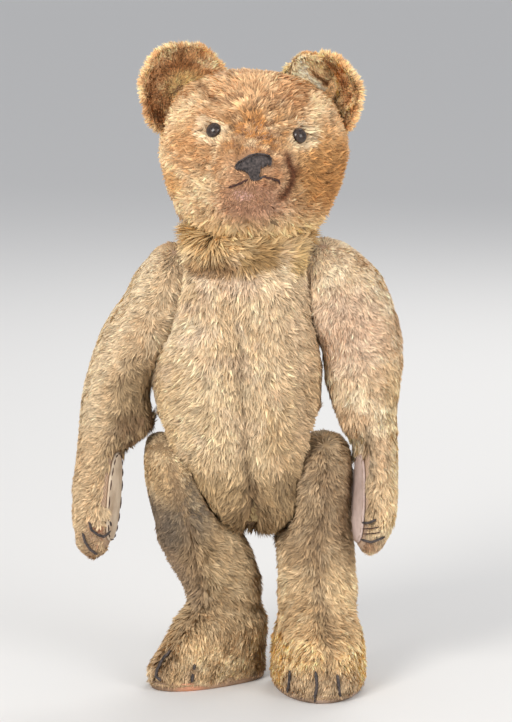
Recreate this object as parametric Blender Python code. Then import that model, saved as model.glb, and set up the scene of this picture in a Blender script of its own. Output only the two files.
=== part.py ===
"""A disc-jointed mohair teddy bear, standing: sewn covers filled with wood wool, on five split-pin joints.

The bear faces -Y and its own left side is +X. Sizes are millimetres until object_from() writes metres.
"""

import math

import bmesh
import bpy
from mathutils import Matrix, Vector
from mathutils.bvhtree import BVHTree

MM = 0.001

# Where the torso's own axis stands in the part's frame, so that the origin is under the middle of the bear.
ROOT = Vector((2.0, 16.8, 0.0))

# Cloth, card and the clearance that touching pieces keep.
WALL = 2.0
GAP = 0.3
FELT = 1.4
SOLE_FELT = 2.2
INSOLE = 1.5
STUFFING_CLEARANCE = 0.7

# Disc joints, the same stack at each of the five.
DISC = 2.0
WASHER = 0.8
WASHER_R = 5.0
WASHER_HOLE_R = 2.2
DISC_HOLE_R = 2.3
COVER_HOLE_R = 2.5
WIRE_R = 0.7
WIRE_APART = 0.85
EYE_LOOP_R = 2.2
LEG_SPREAD = 7.0
DISC_RADII = {
    "neck": 13.5,
    "shoulder_left": 10.5,
    "shoulder_right": 10.5,
    "hip_left": 14.0,
    "hip_right": 14.0,
}

# Room that cut holes and pockets keep round a disc, a washer, the pin's spread legs and its ends.
DISC_ROOM = 0.4
WASHER_ROOM = 0.6
LEG_ROOM = 0.8
PIN_ROOM = 0.6
CUT_PAST = 3.0

# Stitching: thread radii, how far a thread floats off the cloth, the spacing of its points, the nose's pad.
CLAW_THREAD_R = 0.6
MOUTH_THREAD_R = 0.7
THREAD_LIFT = 0.45
THREAD_STEP = 3.0
NOSE_LOW = 0.8
NOSE_HIGH = 2.0

EYE_SHANK_R = 0.8
EYE_SHANK = 5.0
EAR_THICK = 5.0

# How far from its joint a limb is pressed flat against the torso, and how far a palm is flat.
UPPER_ARM_REACH = 30.0
THIGH_REACH = 41.0
PALM_REACH = {"left": 42.0, "right": 33.0}
EVERYWHERE = 1000.0

# The flat of a palm below its section's half width, and the pad's half length and half width.
PAW_FLAT = 3.2
PAW_PAD = (27.0, 12.0)

# How far inside the wall the insole's edge lies, and how wide the cover's hem is round its open sole.
INSOLE_INSET = 2.4
HEM = 6.0

# Each joint: a point on its axis between the two cloth faces, and the axis pointing out of the torso.
NECK = Vector((5.0, 0.0, 279.0))
SHOULDER_LEFT = Vector((40.3, 0.0, 246.0))
SHOULDER_RIGHT = Vector((-35.6, 0.0, 246.0))
HIP_LEFT = Vector((36.0, 0.0, 127.0))
HIP_RIGHT = Vector((-27.5, 0.0, 127.0))


def side_axis(sign, rise_deg):
    """A unit vector out of the bear's side, lifted by rise_deg above the horizontal."""
    rise = math.radians(rise_deg)
    return Vector((sign * math.cos(rise), 0.0, math.sin(rise)))


JOINTS = {
    "neck": (NECK, Vector((0.0, 0.0, 1.0))),
    "shoulder_left": (SHOULDER_LEFT, side_axis(1, 8)),
    "shoulder_right": (SHOULDER_RIGHT, side_axis(-1, 12)),
    "hip_left": (HIP_LEFT, side_axis(1, -5)),
    "hip_right": (HIP_RIGHT, side_axis(-1, -25)),
}

# Sections, top to bottom: centre x, y, z, half width, half depth in front, half depth behind, turn in degrees.
# A row with no width is the closed end.
TORSO = [
    (4, 0, 285, 0, 0, 0, 0),
    (5, 0, 281, 31, 26, 26, 0),
    (4.5, 0, 272, 39.5, 32, 33, 0),
    (2.5, 0, 260, 42, 34, 36, 0),
    (1.5, 0, 244, 43.5, 37, 39, 0),
    (0, 0, 226, 44.5, 37, 41, 0),
    (-2, 0, 205, 48.5, 41, 41, 0),
    (-3, 0, 180, 49.5, 44, 40, 0),
    (-1.5, 0, 160, 46.5, 43, 38, 0),
    (2, 0, 143, 42, 39, 35, 0),
    (4, 0, 127, 36, 33, 31, 0),
    (7, 0, 112, 31, 28, 27, 0),
    (8, 0, 100, 18, 18, 18, 0),
    (8, 0, 95, 0, 0, 0, 0),
]
ARM_LEFT = [
    (50, 0, 272.5, 0, 0, 0, 0),
    (50, 0, 270, 10, 8, 8, 0),
    (51, 0, 263, 20, 15, 15, 0),
    (54.5, 0, 254, 25.5, 18, 18, 0),
    (58.5, 0, 242, 28.5, 20, 20, 0),
    (64, 1, 228, 28, 21, 21, 0),
    (72, 1.5, 211, 24, 21, 21, 0),
    (75, 1, 192, 21, 20, 20, 0),
    (76, -1, 174, 18, 18.5, 18.5, 5),
    (78.5, -5, 156, 14.5, 17, 17, 10),
    (80.5, -11, 136, 12.5, 17, 17, 16),
    (80.5, -17, 116, 12, 18, 17, 16),
    (79.5, -21, 100, 10.5, 15, 14, 16),
    (78, -23, 89, 7.5, 9, 8, 16),
    (77.5, -23, 84, 0, 0, 0, 16),
]
ARM_RIGHT = [
    (-42.5, 0, 269, 0, 0, 0, 0),
    (-42.5, 0, 266.5, 7.5, 8, 8, 0),
    (-43, 0, 260.5, 12.5, 14, 14, 0),
    (-45, 0, 252.5, 18, 17.5, 17.5, 0),
    (-49, 0, 241, 20.5, 19.5, 19.5, 0),
    (-57.5, 1, 225, 21.5, 20, 20, 0),
    (-68, 1.5, 205, 19.5, 20, 20, 0),
    (-75, 1, 188, 18, 19.5, 19.5, 0),
    (-76.5, 0, 172, 19, 18.5, 18.5, -5),
    (-76.4, -1, 162, 20, 18, 18, -7),
    (-79.8, -2.5, 154, 17.5, 17.5, 17.5, -10),
    (-83.3, -4, 146, 14.7, 17, 17, -13),
    (-85.3, -6, 136, 13.5, 17, 17, -16),
    (-87.5, -10, 117, 13, 18, 17, -16),
    (-88.5, -13, 99, 11.5, 15, 14, -16),
    (-89.5, -15, 86, 8, 9, 8, -16),
    (-89.5, -15, 79, 0, 0, 0, -16),
]
LEG_LEFT = [
    (50, 0, 154, 0, 0, 0, 0),
    (50, 0, 151.5, 8, 10, 10, 0),
    (49.5, 0, 146, 13.5, 18, 18, 0),
    (48.5, 0, 138, 16, 23, 22, 0),
    (47, 0, 127, 18, 26, 25, 0),
    (46, 0, 112, 19, 25.5, 25, 0),
    (45.7, 0, 98, 20, 24, 24, 0),
    (45.6, -2, 85, 20.8, 22.5, 22, 0),
    (46, -4, 72, 21, 21.5, 21, 0),
    (46.6, -7, 58, 21.3, 21, 19, 0),
    (46.4, -9, 47, 21, 25, 18.5, 2),
    (47, -9, 36, 22.8, 35, 19, 2),
    (47, -9, 25, 25, 45, 19.5, 2),
    (47, -9, 14, 27, 52, 20.5, 2),
    (47, -9, 6, 27, 52.5, 20.5, 2),
    (47, -9, 2.5, 25, 50, 18.5, 2),
    (47, -9, 2.5, 0, 0, 0, 2),
]
LEG_RIGHT = [
    (-49, 0, 154, 0, 0, 0, 0),
    (-48.5, 0, 151.5, 7, 9, 9, 0),
    (-45.5, 0, 146, 12.5, 17, 17, 0),
    (-42, 0, 138, 16.5, 22, 22, 0),
    (-38.5, 0, 127, 19.5, 25.5, 25, 0),
    (-33.5, 0, 112, 22, 25, 25, 0),
    (-28.5, 2, 98, 23.5, 24, 24, 0),
    (-23.5, 4, 85, 25, 22.5, 22, -6),
    (-17.8, 6, 72, 24, 22, 21.5, -14),
    (-12.3, 8.5, 58, 21.2, 20.5, 20, -25),
    (-10.4, 10, 47, 18, 25, 19, -35),
    (-9.5, 10, 36, 21.5, 37.5, 22, -41),
    (-10, 10, 25, 23.8, 46.5, 23, -43),
    (-11, 10, 14, 25.5, 56, 23, -45),
    (-11, 10, 6, 25.5, 56.5, 23, -45),
    (-11, 10, 2.5, 23.5, 54, 21, -45),
    (-11, 10, 2.5, 0, 0, 0, -45),
]

# The head's sections, front to back: y, centre z, half width, half height above, half height below.
HEAD_X = 5.0
HEAD_ROLL_DEG = 3.6
CROWN = 0.83
HEAD = [
    (-78, 321, 0, 0, 0),
    (-76, 321, 9, 8.5, 8),
    (-71, 320.5, 15.5, 14, 14),
    (-63, 320, 20.5, 19, 20),
    (-55, 320.5, 25.5, 24.5, 25),
    (-47, 322, 32, 31.5, 30),
    (-38, 324, 39.5, 37.5, 37),
    (-26, 327, 47.5, 42, 49),
    (-12, 328, 51, 44, 54),
    (4, 328, 52, 44, 58),
    (20, 327, 48, 41, 54),
    (33, 325, 36, 33, 42),
    (42, 324, 21, 20, 24),
    (46, 324, 0, 0, 0),
]

SEGMENTS = {"torso": 24, "head": 24, "arm": 16, "leg": 18}

# An ear: its middle, radius, how far the rim stands forward of the middle, and how far it is turned outwards.
EAR_RIGHT = {"centre": Vector((-36.0, 2.0, 363.0)), "radius": 27.0, "cup": 10.0, "turn": 18.0}
EAR_LEFT = {"centre": Vector((48.0, 2.0, 359.0)), "radius": 26.0, "cup": 10.0, "turn": -18.0}

# The face and the claws, as (x, z) seen from the front. A claw thread runs down one claw, along the seam and
# up the next.
EYES = {"left": (33.0, 339.5), "right": (-15.5, 342.0)}
NOSE = (8.0, 322.5)
MOUTH = [(-6.5, 310.5), (2.5, 311.8), (8.0, 312.6), (14.0, 312.0), (22.0, 311.3)]
HAND_CLAWS = {
    "left": [(77.5, 99.5), (83.0, 100.0), (82.5, 93.5), (77.0, 92.0)],
    "right": [(-91.5, 97.0), (-88.0, 88.5), (-84.5, 88.0), (-83.0, 97.0)],
}
FOOT_CLAWS = {
    "left": [(31.0, 20.0), (30.0, 7.0), (44.5, 6.0), (45.5, 22.0), (57.5, 20.0), (58.5, 7.0)],
    "right": [(-42.5, 23.0), (-49.5, 12.5), (-40.0, 7.5), (-31.0, 7.0), (-29.0, 16.5)],
}


# ---------------------------------------------------------------- making objects


def clear_scene():
    for obj in list(bpy.data.objects):
        bpy.data.objects.remove(obj, do_unlink=True)


def material(name, colour, roughness, metallic=0.0):
    mat = bpy.data.materials.new(name)
    mat.use_nodes = True
    shader = mat.node_tree.nodes["Principled BSDF"]
    shader.inputs["Base Color"].default_value = (*colour, 1.0)
    shader.inputs["Roughness"].default_value = roughness
    shader.inputs["Metallic"].default_value = metallic
    return mat


def axis_frame(point, axis):
    """The matrix of an empty at point, in metres, whose local X lies along axis."""
    turn = Vector((1.0, 0.0, 0.0)).rotation_difference(axis).to_matrix().to_4x4()
    return Matrix.Translation(point * MM) @ turn


class Body:
    """What moves as one: its parent empty, and the change from the bear's millimetres to the empty's metres."""

    def __init__(self, name, parent=None, point=Vector(), axis=Vector((1.0, 0.0, 0.0))):
        self.empty = bpy.data.objects.new(name, None)
        self.empty.empty_display_size = 0.02
        self.empty.parent = parent
        bpy.context.collection.objects.link(self.empty)
        frame = axis_frame(point, axis)
        self.empty.matrix_local = frame
        if parent is None:
            self.empty.location = ROOT * MM
        self.to_local = frame.inverted()

    def place(self, obj):
        obj.parent = self.empty
        return obj

    def local(self, point):
        return self.to_local @ (Vector(point) * MM)


def object_from(name, body, points, faces, mat=None):
    """A mesh object of points in the bear's millimetres, with its faces turned outwards."""
    mesh = bpy.data.meshes.new(name)
    mesh.from_pydata([body.local(p) for p in points], [], faces)
    if mat:
        mesh.materials.append(mat)
    mesh.shade_smooth()
    mesh.set_sharp_from_angle(angle=math.radians(50))
    obj = bpy.data.objects.new(name, mesh)
    bpy.context.collection.objects.link(obj)
    return body.place(obj)


def cut(obj, cutter):
    """Takes the cutter's shape out of obj, with a Boolean that stays on it."""
    cutter.hide_render = True
    cutter.display_type = "WIRE"
    change = obj.modifiers.new("cut_" + cutter.name, "BOOLEAN")
    change.operation = "DIFFERENCE"
    change.solver = "EXACT"
    change.object = cutter


# ---------------------------------------------------------------- lofted skins


def ring_points(row, count):
    """One level section of a standing loft: a wide half in front of its centre and another behind."""
    x, y, z, width, front, back, turn_deg = row
    turn = math.radians(turn_deg)
    side = Vector((math.cos(turn), math.sin(turn), 0.0))
    ahead = Vector((math.sin(turn), -math.cos(turn), 0.0))
    points = []
    for i in range(count):
        t = 2 * math.pi * i / count
        depth = front if math.sin(t) > 0 else back
        points.append(Vector((x, y, z)) + side * (width * math.cos(t)) + ahead * (depth * math.sin(t)))
    return points


def head_ring(row, count):
    """One upright section of the head, before its roll, with its crown flatter than an ellipse."""
    y, z, width, above, below = row
    points = []
    for i in range(count):
        t = 2 * math.pi * i / count
        if math.sin(t) > 0:
            across = math.copysign(abs(math.cos(t)) ** CROWN, math.cos(t))
            up = above * math.sin(t) ** CROWN
        else:
            across = math.cos(t)
            up = below * math.sin(t)
        points.append(Vector((HEAD_X + width * across, y, z + up)))
    return points


def roll_head(point):
    """The head leans a little to its left, about the neck."""
    turn = Matrix.Rotation(math.radians(HEAD_ROLL_DEG), 4, "Y")
    return NECK + turn @ (point - NECK)


class Skin:
    """A closed lofted surface, which can be drawn smaller along its own normals and pressed flat on planes."""

    def __init__(self, rings):
        self.count = len(rings[1])
        self.points = [rings[0][0]] + [p for ring in rings[1:-1] for p in ring] + [rings[-1][0]]
        self.faces = self.loft_faces(len(rings) - 2)
        self.normals = self.outward_normals()

    def loft_faces(self, levels):
        n = self.count
        last = 1 + levels * n
        faces = [(0, 1 + (i + 1) % n, 1 + i) for i in range(n)]
        for level in range(levels - 1):
            start = 1 + level * n
            for i in range(n):
                j = (i + 1) % n
                faces.append((start + i, start + j, start + n + j))
                faces.append((start + i, start + n + j, start + n + i))
        start = 1 + (levels - 1) * n
        faces += [(last, start + i, start + (i + 1) % n) for i in range(n)]
        return faces

    def outward_normals(self):
        mesh = bmesh.new()
        verts = [mesh.verts.new(p) for p in self.points]
        for face in self.faces:
            mesh.faces.new([verts[i] for i in face])
        bmesh.ops.recalc_face_normals(mesh, faces=mesh.faces)
        mesh.normal_update()
        mesh.verts.ensure_lookup_table()
        mesh.faces.ensure_lookup_table()
        normals = [v.normal.copy() for v in mesh.verts]
        self.faces = [tuple(v.index for v in f.verts) for f in mesh.faces]
        mesh.free()
        return normals

    def inset(self, depth, planes):
        """The surface this far inside the skin. Each plane is (point, outward normal, the reach of its pressing)."""
        moved = [p - n * depth for p, n in zip(self.points, self.normals, strict=True)]
        for point, normal, reach in planes:
            for i, (p, start) in enumerate(zip(moved, self.points, strict=True)):
                over = (p - point).dot(normal) + depth + GAP / 2
                away = (start - point - normal * (start - point).dot(normal)).length
                if over > 0 and away < reach:
                    moved[i] = p - normal * over
        return moved


def cover_object(name, body, skin, planes, mat):
    """The sewn cloth: the skin with its thickness inside, still sealed until its holes are cut."""
    outer = skin.inset(0.0, planes)
    inner = skin.inset(WALL, planes)
    count = len(outer)
    faces = skin.faces + [tuple(i + count for i in reversed(face)) for face in skin.faces]
    return object_from(name, body, outer + inner, faces, mat)


def stuffing_object(name, body, skin, planes, mat, floor=None):
    points = skin.inset(WALL + STUFFING_CLEARANCE, planes)
    if floor is not None:
        points = [Vector((p.x, p.y, max(p.z, floor))) for p in points]
    return object_from(name, body, points, skin.faces, mat)


# ---------------------------------------------------------------- turned pieces


def turned(name, body, point, axis, profile, segments, mat=None):
    """A solid of revolution about axis through point. The profile is (height along the axis, radius), closed."""
    across = axis.orthogonal().normalized()
    other = axis.cross(across)
    solid = profile[0][1] == 0
    rows = profile[1:-1] if solid else profile
    points = []
    for height, radius in rows:
        for i in range(segments):
            t = 2 * math.pi * i / segments
            points.append(point + axis * height + (across * math.cos(t) + other * math.sin(t)) * radius)
    faces = []
    last = len(rows) if not solid else len(rows) - 1
    for level in range(last):
        above = (level + 1) % len(rows)
        for i in range(segments):
            j = (i + 1) % segments
            faces.append((level * segments + i, level * segments + j, above * segments + j, above * segments + i))
    if solid:
        points += [point + axis * profile[0][0], point + axis * profile[-1][0]]
        low, high = len(points) - 2, len(points) - 1
        top = (len(rows) - 1) * segments
        for i in range(segments):
            j = (i + 1) % segments
            faces.append((low, j, i))
            faces.append((high, top + i, top + j))
    return object_from(name, body, points, faces, mat)


def ring_profile(low, high, hole, radius):
    return [(low, hole), (low, radius), (high, radius), (high, hole)]


def plug_profile(steps):
    """A solid stepped cylinder from (height, radius) steps: each radius holds from its height to the next."""
    profile = [(steps[0][0], 0)]
    for (low, radius), (high, _) in zip(steps, steps[1:], strict=False):
        profile += [(low, radius), (high, radius)]
    return [*profile, (steps[-1][0], 0)]


def stack_heights():
    """Where each layer of a joint lies, counted from the plane between the two cloth faces."""
    disc = GAP / 2 + WALL + GAP
    washer = disc + DISC + GAP
    wire = washer + WASHER + GAP + WIRE_R
    return disc, washer, wire


def joint_stack(joint, limb_body, torso_body, mats):
    """Two discs, two washers and the split pin that draws them together."""
    point, axis = JOINTS[joint]
    disc, washer, wire = stack_heights()
    radius = DISC_RADII[joint]
    for side, sign, body in (("outer", 1, limb_body), ("inner", -1, torso_body)):
        faced = axis * sign
        card = ring_profile(disc, disc + DISC, DISC_HOLE_R, radius)
        steel = ring_profile(washer, washer + WASHER, WASHER_HOLE_R, WASHER_R)
        turned(f"{joint}_disc_{side}", body, point, faced, card, 20, mats["card"])
        turned(f"{joint}_washer_{side}", body, point, faced, steel, 14, mats["steel"])
    split_pin(f"{joint}_pin", torso_body, point, axis, wire, mats["steel"])


def split_pin(name, body, point, axis, wire, mat):
    """One wire: a spread leg, up the shaft, round the eye, down the shaft and out along the other leg."""
    across = axis.orthogonal().normalized()
    rise = math.sqrt(EYE_LOOP_R**2 - WIRE_APART**2)
    bend = [(0.0, LEG_SPREAD), (0.0, 3.2), (0.25, 1.7), (0.9, WIRE_APART + 0.15), (1.9, WIRE_APART)]
    legs = [(height - wire, spread) for height, spread in bend]
    start = math.atan2(WIRE_APART, -rise)
    loop = []
    for k in range(9):
        t = start - 2 * start * k / 8
        loop.append((wire + EYE_LOOP_R * (1 + math.cos(t)) - (EYE_LOOP_R - rise), EYE_LOOP_R * math.sin(t)))
    path = [*legs, *loop, *[(h, -s) for h, s in reversed(legs)]]
    return wire_object(name, body, [point + axis * h + across * s for h, s in path], WIRE_R, mat)


def wire_object(name, body, points, radius, mat, sides=1):
    curve = bpy.data.curves.new(name, "CURVE")
    curve.dimensions = "3D"
    curve.bevel_depth = radius * MM
    curve.bevel_resolution = sides
    curve.use_fill_caps = True
    spline = curve.splines.new("POLY")
    spline.points.add(len(points) - 1)
    for spot, p in zip(spline.points, points, strict=True):
        spot.co = (*body.local(p), 1.0)
    curve.materials.append(mat)
    obj = bpy.data.objects.new(name, curve)
    bpy.context.collection.objects.link(obj)
    return body.place(obj)


def hole_cutter(joint, body):
    point, axis = JOINTS[joint]
    reach = WALL + CUT_PAST
    profile = plug_profile([(-reach, COVER_HOLE_R), (reach, 0)])
    return turned(f"hole_{joint}_{body.empty.name}", body, point, axis, profile, 12)


def pocket_cutter(joint, body, sign):
    """Room in the stuffing for the disc, and behind it for the washer and the pin's end."""
    point, axis = JOINTS[joint]
    disc, washer, wire = stack_heights()
    end = wire + WIRE_R + PIN_ROOM
    room = LEG_SPREAD + LEG_ROOM
    if sign > 0:
        end += 2 * EYE_LOOP_R
        room = WASHER_R + WASHER_ROOM
    steps = [(-1.0, DISC_RADII[joint] + DISC_ROOM), (disc + DISC + GAP, room), (end, 0)]
    return turned(f"pocket_{joint}_{body.empty.name}", body, point, axis * sign, plug_profile(steps), 20)


# ---------------------------------------------------------------- what lies on the cloth


class Drape:
    """The outer cloth of one body, to lay stitches and buttons on."""

    def __init__(self, skin, planes):
        self.tree = BVHTree.FromPolygons(skin.inset(0.0, planes), skin.faces)

    def at(self, x, z, lift, y=None, towards=Vector((0.0, 1.0, 0.0))):
        """The point lift above the cloth that is met going towards, from outside at x and z, and its normal."""
        start = Vector((x, -200.0 if y is None else y, z))
        hit, normal, _, _ = self.tree.ray_cast(start, towards)
        if normal.dot(towards) > 0:
            normal = -normal
        return hit + normal * lift, normal


def stitched_line(name, body, drape, spots, radius, mat):
    """A thread laid over the cloth from spot to spot, each (x, z) as seen from the front."""
    path = []
    for (x0, z0), (x1, z1) in zip(spots, spots[1:], strict=False):
        steps = max(2, round(math.dist((x0, z0), (x1, z1)) / THREAD_STEP))
        for k in range(steps):
            u = k / steps
            path.append(drape.at(x0 + (x1 - x0) * u, z0 + (z1 - z0) * u, radius + THREAD_LIFT)[0])
    path.append(drape.at(*spots[-1], radius + THREAD_LIFT)[0])
    return wire_object(name, body, path, radius, mat)


def nose_outline(t):
    """The stitched nose seen from the front, about its middle: a broad arch above and a blunt point below."""
    x = 10.0 * math.cos(t)
    z = 7.0 * math.sin(t)
    if z < 0:
        x *= 1 - 0.62 * (-z / 7.0) ** 1.2
        z *= 1.25
    return x, z


def nose_object(name, body, drape, centre, mat, segments=16):
    under, over = [], []
    shares = (0.0, 0.4, 0.75, 1.0)
    for share in shares:
        for i in range(segments if share else 1):
            x, z = nose_outline(2 * math.pi * i / segments)
            under.append(drape.at(centre[0] + x * share, centre[1] + z * share, NOSE_LOW)[0])
            over.append(drape.at(centre[0] + x * share, centre[1] + z * share, NOSE_HIGH)[0])
    n = segments
    top = []
    for i in range(n):
        j = (i + 1) % n
        top.append((0, 1 + j, 1 + i))
        for ring in range(len(shares) - 2):
            start = 1 + ring * n
            top.append((start + i, start + j, start + n + j))
            top.append((start + i, start + n + j, start + n + i))
    size = len(over)
    faces = top + [tuple(k + size for k in reversed(face)) for face in top]
    rim = 1 + (len(shares) - 2) * n
    for i in range(n):
        j = (i + 1) % n
        faces.append((rim + i, rim + j, rim + j + size, rim + i + size))
    return object_from(name, body, under + over, faces, mat)


def eye_object(name, body, drape, x, z, mat):
    """A domed boot button on its wire shank; gives back where it sits and which way it looks."""
    point, normal = drape.at(x, z, GAP + 0.05)
    shank = [(-EYE_SHANK, 0), (-EYE_SHANK, EYE_SHANK_R), (0.0, EYE_SHANK_R)]
    dome = [(0.0, 4.0), (0.9, 4.3), (1.9, 4.0), (2.8, 3.1), (3.4, 1.6), (3.6, 0)]
    turned(name, body, point, normal, shank + dome, 16, mat)
    return point, normal


def plate(name, body, centre, normal, along, outline, low, high, mat):
    """A flat piece of the outline (along, across), from low to high above centre."""
    across = normal.cross(along).normalized()
    n = len(outline)
    points = []
    for height in (low, high):
        points += [centre + along * u + across * v + normal * height for u, v in outline]
    faces = [tuple(reversed(range(n))), tuple(range(n, 2 * n))]
    faces += [(i, (i + 1) % n, n + (i + 1) % n, n + i) for i in range(n)]
    return object_from(name, body, points, faces, mat)


def oval(half_length, half_width, count=28, power=2.3):
    outline = []
    for i in range(count):
        t = 2 * math.pi * i / count
        c, s = math.cos(t), math.sin(t)
        outline.append(
            (
                half_length * math.copysign(abs(c) ** (2 / power), c),
                half_width * math.copysign(abs(s) ** (2 / power), s),
            )
        )
    return outline


def paw_plane(rows, sign):
    """The flat inner face of a hand: a point on it, its outward normal and the hand's own length direction."""
    upper, middle, lower = rows[-5], rows[-4], rows[-3]
    along = (Vector(lower[:3]) - Vector(upper[:3])).normalized()
    turn = math.radians(abs(middle[6]))
    facing = Vector((-sign * math.cos(turn), -math.sin(turn), 0.0))
    normal = (facing - along * facing.dot(along)).normalized()
    return Vector(middle[:3]) + normal * (middle[3] - PAW_FLAT), normal, along


# ---------------------------------------------------------------- the bear


def skin_of(rows, segments):
    return Skin([ring_points(row, segments) for row in rows])


def build_torso(body, mats):
    planes = [(point, axis, EVERYWHERE) for point, axis in JOINTS.values()]
    skin = skin_of(TORSO, SEGMENTS["torso"])
    cover = cover_object("torso_cover", body, skin, planes, mats["mohair"])
    stuffing = stuffing_object("torso_stuffing", body, skin, planes, mats["wool"])
    for joint in JOINTS:
        cut(cover, hole_cutter(joint, body))
        cut(stuffing, pocket_cutter(joint, body, -1))


def build_head(body, mats):
    rings = [[roll_head(p) for p in head_ring(row, SEGMENTS["head"])] for row in HEAD]
    skin = Skin(rings)
    planes = [(NECK, Vector((0.0, 0.0, -1.0)), EVERYWHERE)]
    cover = cover_object("head_cover", body, skin, planes, mats["gold_mohair"])
    stuffing = stuffing_object("head_stuffing", body, skin, planes, mats["wool"])
    cut(cover, hole_cutter("neck", body))
    cut(stuffing, pocket_cutter("neck", body, 1))
    drape = Drape(skin, planes)
    for side, spot in EYES.items():
        point, normal = eye_object(f"eye_{side}", body, drape, *spot, mats["button"])
        hole = plug_profile([(-EYE_SHANK - 1.0, EYE_SHANK_R + GAP), (1.0, 0)])
        drill = turned(f"eye_hole_{side}", body, point, normal, hole, 10)
        cut(cover, drill)
        cut(stuffing, drill)
    nose_object("nose_stitching", body, drape, NOSE, mats["thread"])
    stitched_line("mouth_stitching", body, drape, MOUTH, MOUTH_THREAD_R, mats["thread"])
    build_ear("ear_right", body, skin, EAR_RIGHT, mats["gold_mohair"])
    build_ear("ear_left", body, skin, EAR_LEFT, mats["gold_mohair"])


def build_ear(name, body, head_skin, ear, mat, segments=20, levels=3):
    """A round two-layer ear, cupped forwards, with its lower part cut to the head."""
    turn = Matrix.Rotation(math.radians(ear["turn"]), 3, "Z")
    front, back = [], []
    for level in range(levels + 1):
        share = level / levels
        for i in range(segments if level else 1):
            t = 2 * math.pi * i / segments
            radius = ear["radius"] * share
            for layer, thick in ((front, 0.0), (back, EAR_THICK)):
                spread = radius - (0.9 if thick else 0.0) * share
                y = thick - ear["cup"] * share**2
                layer.append(ear["centre"] + turn @ Vector((spread * math.cos(t), y, spread * math.sin(t))))
    n = segments
    faces = [(0, 1 + (i + 1) % n, 1 + i) for i in range(n)]
    for level in range(levels - 1):
        start = 1 + level * n
        faces += [(start + i, start + (i + 1) % n, start + n + (i + 1) % n, start + n + i) for i in range(n)]
    size = len(front)
    faces += [tuple(k + size for k in reversed(face)) for face in list(faces)]
    rim = 1 + (levels - 1) * n
    faces += [(rim + i, rim + (i + 1) % n, rim + (i + 1) % n + size, rim + i + size) for i in range(n)]
    obj = object_from(name, body, front + back, faces, mat)
    seat = object_from(f"seat_{name}", body, head_skin.inset(-GAP, []), head_skin.faces)
    cut(obj, seat)


def build_arm(side, sign, rows, body, mats):
    point, axis = JOINTS[f"shoulder_{side}"]
    palm, normal, along = paw_plane(rows, sign)
    planes = [(point, -axis, UPPER_ARM_REACH), (palm, normal, PALM_REACH[side])]
    skin = skin_of(rows, SEGMENTS["arm"])
    cover = cover_object(f"arm_{side}_cover", body, skin, planes, mats["mohair"])
    stuffing = stuffing_object(f"arm_{side}_stuffing", body, skin, planes, mats["wool"])
    cut(cover, hole_cutter(f"shoulder_{side}", body))
    cut(stuffing, pocket_cutter(f"shoulder_{side}", body, 1))
    plate(f"paw_pad_{side}", body, palm, normal, along, oval(*PAW_PAD), GAP, GAP + FELT, mats["felt"])
    drape = Drape(skin, planes)
    stitched_line(f"claw_thread_hand_{side}", body, drape, HAND_CLAWS[side], CLAW_THREAD_R, mats["thread"])


def build_leg(side, rows, body, mats):
    point, axis = JOINTS[f"hip_{side}"]
    thigh = (point, -axis, THIGH_REACH)
    hem = rows[-2][2]
    underside = (Vector((0.0, 0.0, hem + GAP / 2)), Vector((0.0, 0.0, -1.0)), EVERYWHERE)
    insole_low = hem + WALL + GAP
    insole_high = insole_low + INSOLE
    skin = skin_of(rows, SEGMENTS["leg"])
    cover = cover_object(f"leg_{side}_cover", body, skin, [thigh, underside], mats["mohair"])
    stuffing = stuffing_object(f"leg_{side}_stuffing", body, skin, [thigh], mats["wool"], insole_high + GAP)
    cut(cover, hole_cutter(f"hip_{side}", body))
    cut(stuffing, pocket_cutter(f"hip_{side}", body, 1))
    level_plate(f"foot_pad_{side}", body, rows[-3], 0.0, 0.0, SOLE_FELT, mats["felt"])
    level_plate(f"insole_{side}", body, rows[-3], WALL + INSOLE_INSET, insole_low, insole_high, mats["card"])
    opening = level_plate(f"sole_opening_{side}", body, rows[-3], WALL + HEM, hem - WALL, insole_high, None)
    cut(cover, opening)
    drape = Drape(skin, [thigh])
    stitched_line(f"claw_thread_foot_{side}", body, drape, FOOT_CLAWS[side], CLAW_THREAD_R, mats["thread"])


def level_plate(name, body, row, inset, low, high, mat, count=36):
    """A level plate from low to high with the outline of a section, drawn in by inset."""
    x, y, z, width, front, back, turn = row
    ring = ring_points((x, y, z, width - inset, front - inset, back - inset, turn), count)
    outline = [(p.x, p.y) for p in reversed(ring)]
    up, along = Vector((0.0, 0.0, 1.0)), Vector((1.0, 0.0, 0.0))
    return plate(name, body, Vector(), up, along, outline, low, high, mat)


def main():
    clear_scene()
    mats = {
        "mohair": material("worn_mohair", (0.52, 0.41, 0.26), 0.95),
        "gold_mohair": material("golden_mohair", (0.58, 0.37, 0.18), 0.95),
        "wool": material("wood_wool", (0.55, 0.43, 0.25), 0.9),
        "felt": material("wool_felt", (0.62, 0.52, 0.45), 0.95),
        "card": material("pressed_card", (0.32, 0.22, 0.13), 0.85),
        "steel": material("dull_steel", (0.42, 0.41, 0.39), 0.45, 0.9),
        "button": material("boot_button", (0.02, 0.014, 0.01), 0.2),
        "thread": material("floss", (0.02, 0.016, 0.014), 0.8),
    }
    bear = Body("bear")
    bodies = {}
    for joint, (point, axis) in JOINTS.items():
        bodies[joint] = Body(joint, bear.empty, point, axis)
    build_torso(bear, mats)
    build_head(bodies["neck"], mats)
    build_arm("left", 1, ARM_LEFT, bodies["shoulder_left"], mats)
    build_arm("right", -1, ARM_RIGHT, bodies["shoulder_right"], mats)
    build_leg("left", LEG_LEFT, bodies["hip_left"], mats)
    build_leg("right", LEG_RIGHT, bodies["hip_right"], mats)
    for joint in JOINTS:
        joint_stack(joint, bodies[joint], bear, mats)


main()
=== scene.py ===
"""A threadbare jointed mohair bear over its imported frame: backing cloth, pile, felt, floss, boot buttons.

Lengths are in the bear's own millimetres, from the torso's foot point, with the bear looking towards -y.
Left and right are the bear's own."""

import itertools
import math

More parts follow.
